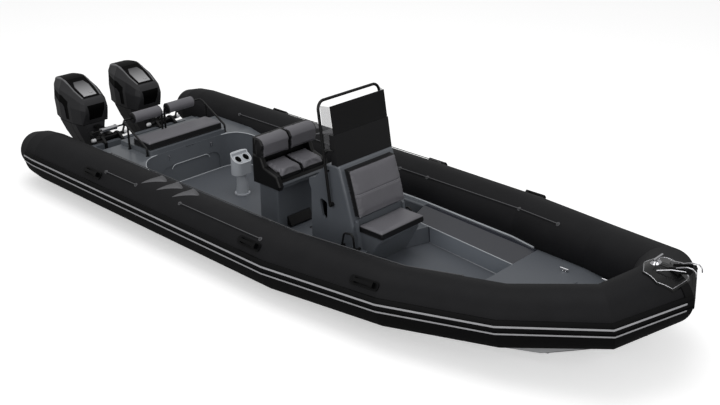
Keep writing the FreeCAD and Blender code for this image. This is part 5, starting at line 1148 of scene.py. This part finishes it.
# Turned sections: radius, distance along the axis
FILLER_CAP = ((0, 0), (0.027, 0), (0.027, 0.006), (0.024, 0.009), (0.016, 0.010), (0.013, 0.007),
              (0, 0.007))
TILT_CAP = ((0, 0), (0.019, 0), (0.025, 0.004), (0.025, 0.034), (0.021, 0.038), (0.021, 0.052),
            (0.014, 0.058), (0, 0.058))
HANDS = ((1, "left"), (-1, "right"))
for side, engine_y in (("port", 0.430), ("starboard", -0.430)):
    engine = "engine_" + side
    dress(satin_grey, engine + "_upper_cowl", engine + "_lower_cowl")
    dress(gloss_black, engine + "_leg", engine + "_gearcase", engine + "_swivel")
    dress(trim_black, engine + "_cowl_trim")
    dress(polished_stainless, engine + "_ram")
    dress(cast_steel, engine + "_propeller")

    # The panel lies on the roof, in the window of the black cap.
    roof = surface_of(engine + "_upper_cowl")
    rows, normals = [], []
    for x, half in stations(PANEL_PLAN, PLAN_PITCH):
        starts = [Vector((x, engine_y + half * (column / 6 - 1), OVERHEAD)) for column in range(13)]
        rows.append([roof.ray_cast(start, -UP)[0] - UP * 0.001 for start in starts])
        normals.append([UP] * 13)
    panel = strip_mesh("cowl_panel_" + side, rows, 0.005, normals, panel_silver_painted_reflection)
    panel.data.set_sharp_from_angle(angle=math.radians(30))
    above = Vector((FILLER_PLACE[0], engine_y + FILLER_PLACE[1], OVERHEAD))
    cap_place, cap_slope, _, _ = roof.ray_cast(above, -UP)
    cap = lathe("cowl_filler_cap_" + side, cap_place + UP * 0.002, cap_slope, FILLER_CAP, panel_silver_painted_reflection)
    pieces = [panel, cap]

    # A lighter band along each shoulder of the cowl is a painted highlight, where the shoulder's edge catches
    # the light.
    for hand, hand_name in HANDS:
        rows, normals = [], []
        for x, half in stations(SHOULDER_PLAN, PLAN_PITCH):
            offs = [half + SHOULDER_HALF * (column / 3 - 1) for column in range(7)]
            hits = [roof.ray_cast(Vector((x, engine_y + hand * off, OVERHEAD)), -UP) for off in offs]
            rows.append([hit[0] - hit[1] * 0.001 for hit in hits])
            normals.append([hit[1] for hit in hits])
        band = strip_mesh(f"cowl_shoulder_{side}_{hand_name}", rows, 0.0035, normals, shoulder_painted_highlight)
        band.data.set_sharp_from_angle(angle=math.radians(30))
        pieces.append(band)

    # A rubber seal shows as a thin line where the upper cowl meets the lower, and a joint runs
    # down each side of the lower cowl.
    bm = welded(engine + "_upper_cowl")
    seal_line = spaced(crossing(bm, UP * SEAL_Z, UP), 0.010)
    pieces.append(tube_along("cowl_seal_" + side, seal_line, 0.0030, trim_black, True, 2))
    lower = surface_of(engine + "_lower_cowl")
    for hand, hand_name in HANDS:
        rows, normals = [], []
        outward = Vector((0, hand, 0))
        for step in range(JOINT_STEPS + 1):
            down = JOINT_DROP * step / JOINT_STEPS
            starts = [Vector((x + JOINT_RAKE * down, engine_y + hand * 0.5, JOINT_TOP - down))
                      for x in JOINT_X]
            rows.append([lower.ray_cast(start, -outward)[0] - outward * 0.001 for start in starts])
            normals.append([outward] * 2)
        pieces.append(strip_mesh(f"cowl_joint_{side}_{hand_name}", rows, 0.002, normals, trim_black))
    for piece in pieces:
        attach(piece, side + "_engine")

    # White nylon caps close the ends of the tilt tube.
    for hand, hand_name in HANDS:
        x, y, z = TILT_CAP_PLACE
        nut = lathe(f"tilt_cap_{side}_{hand_name}", Vector((x, engine_y + hand * y, z)),
                    Vector((0, hand, 0)), TILT_CAP, white_nylon)
        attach(nut, side + "_bracket")
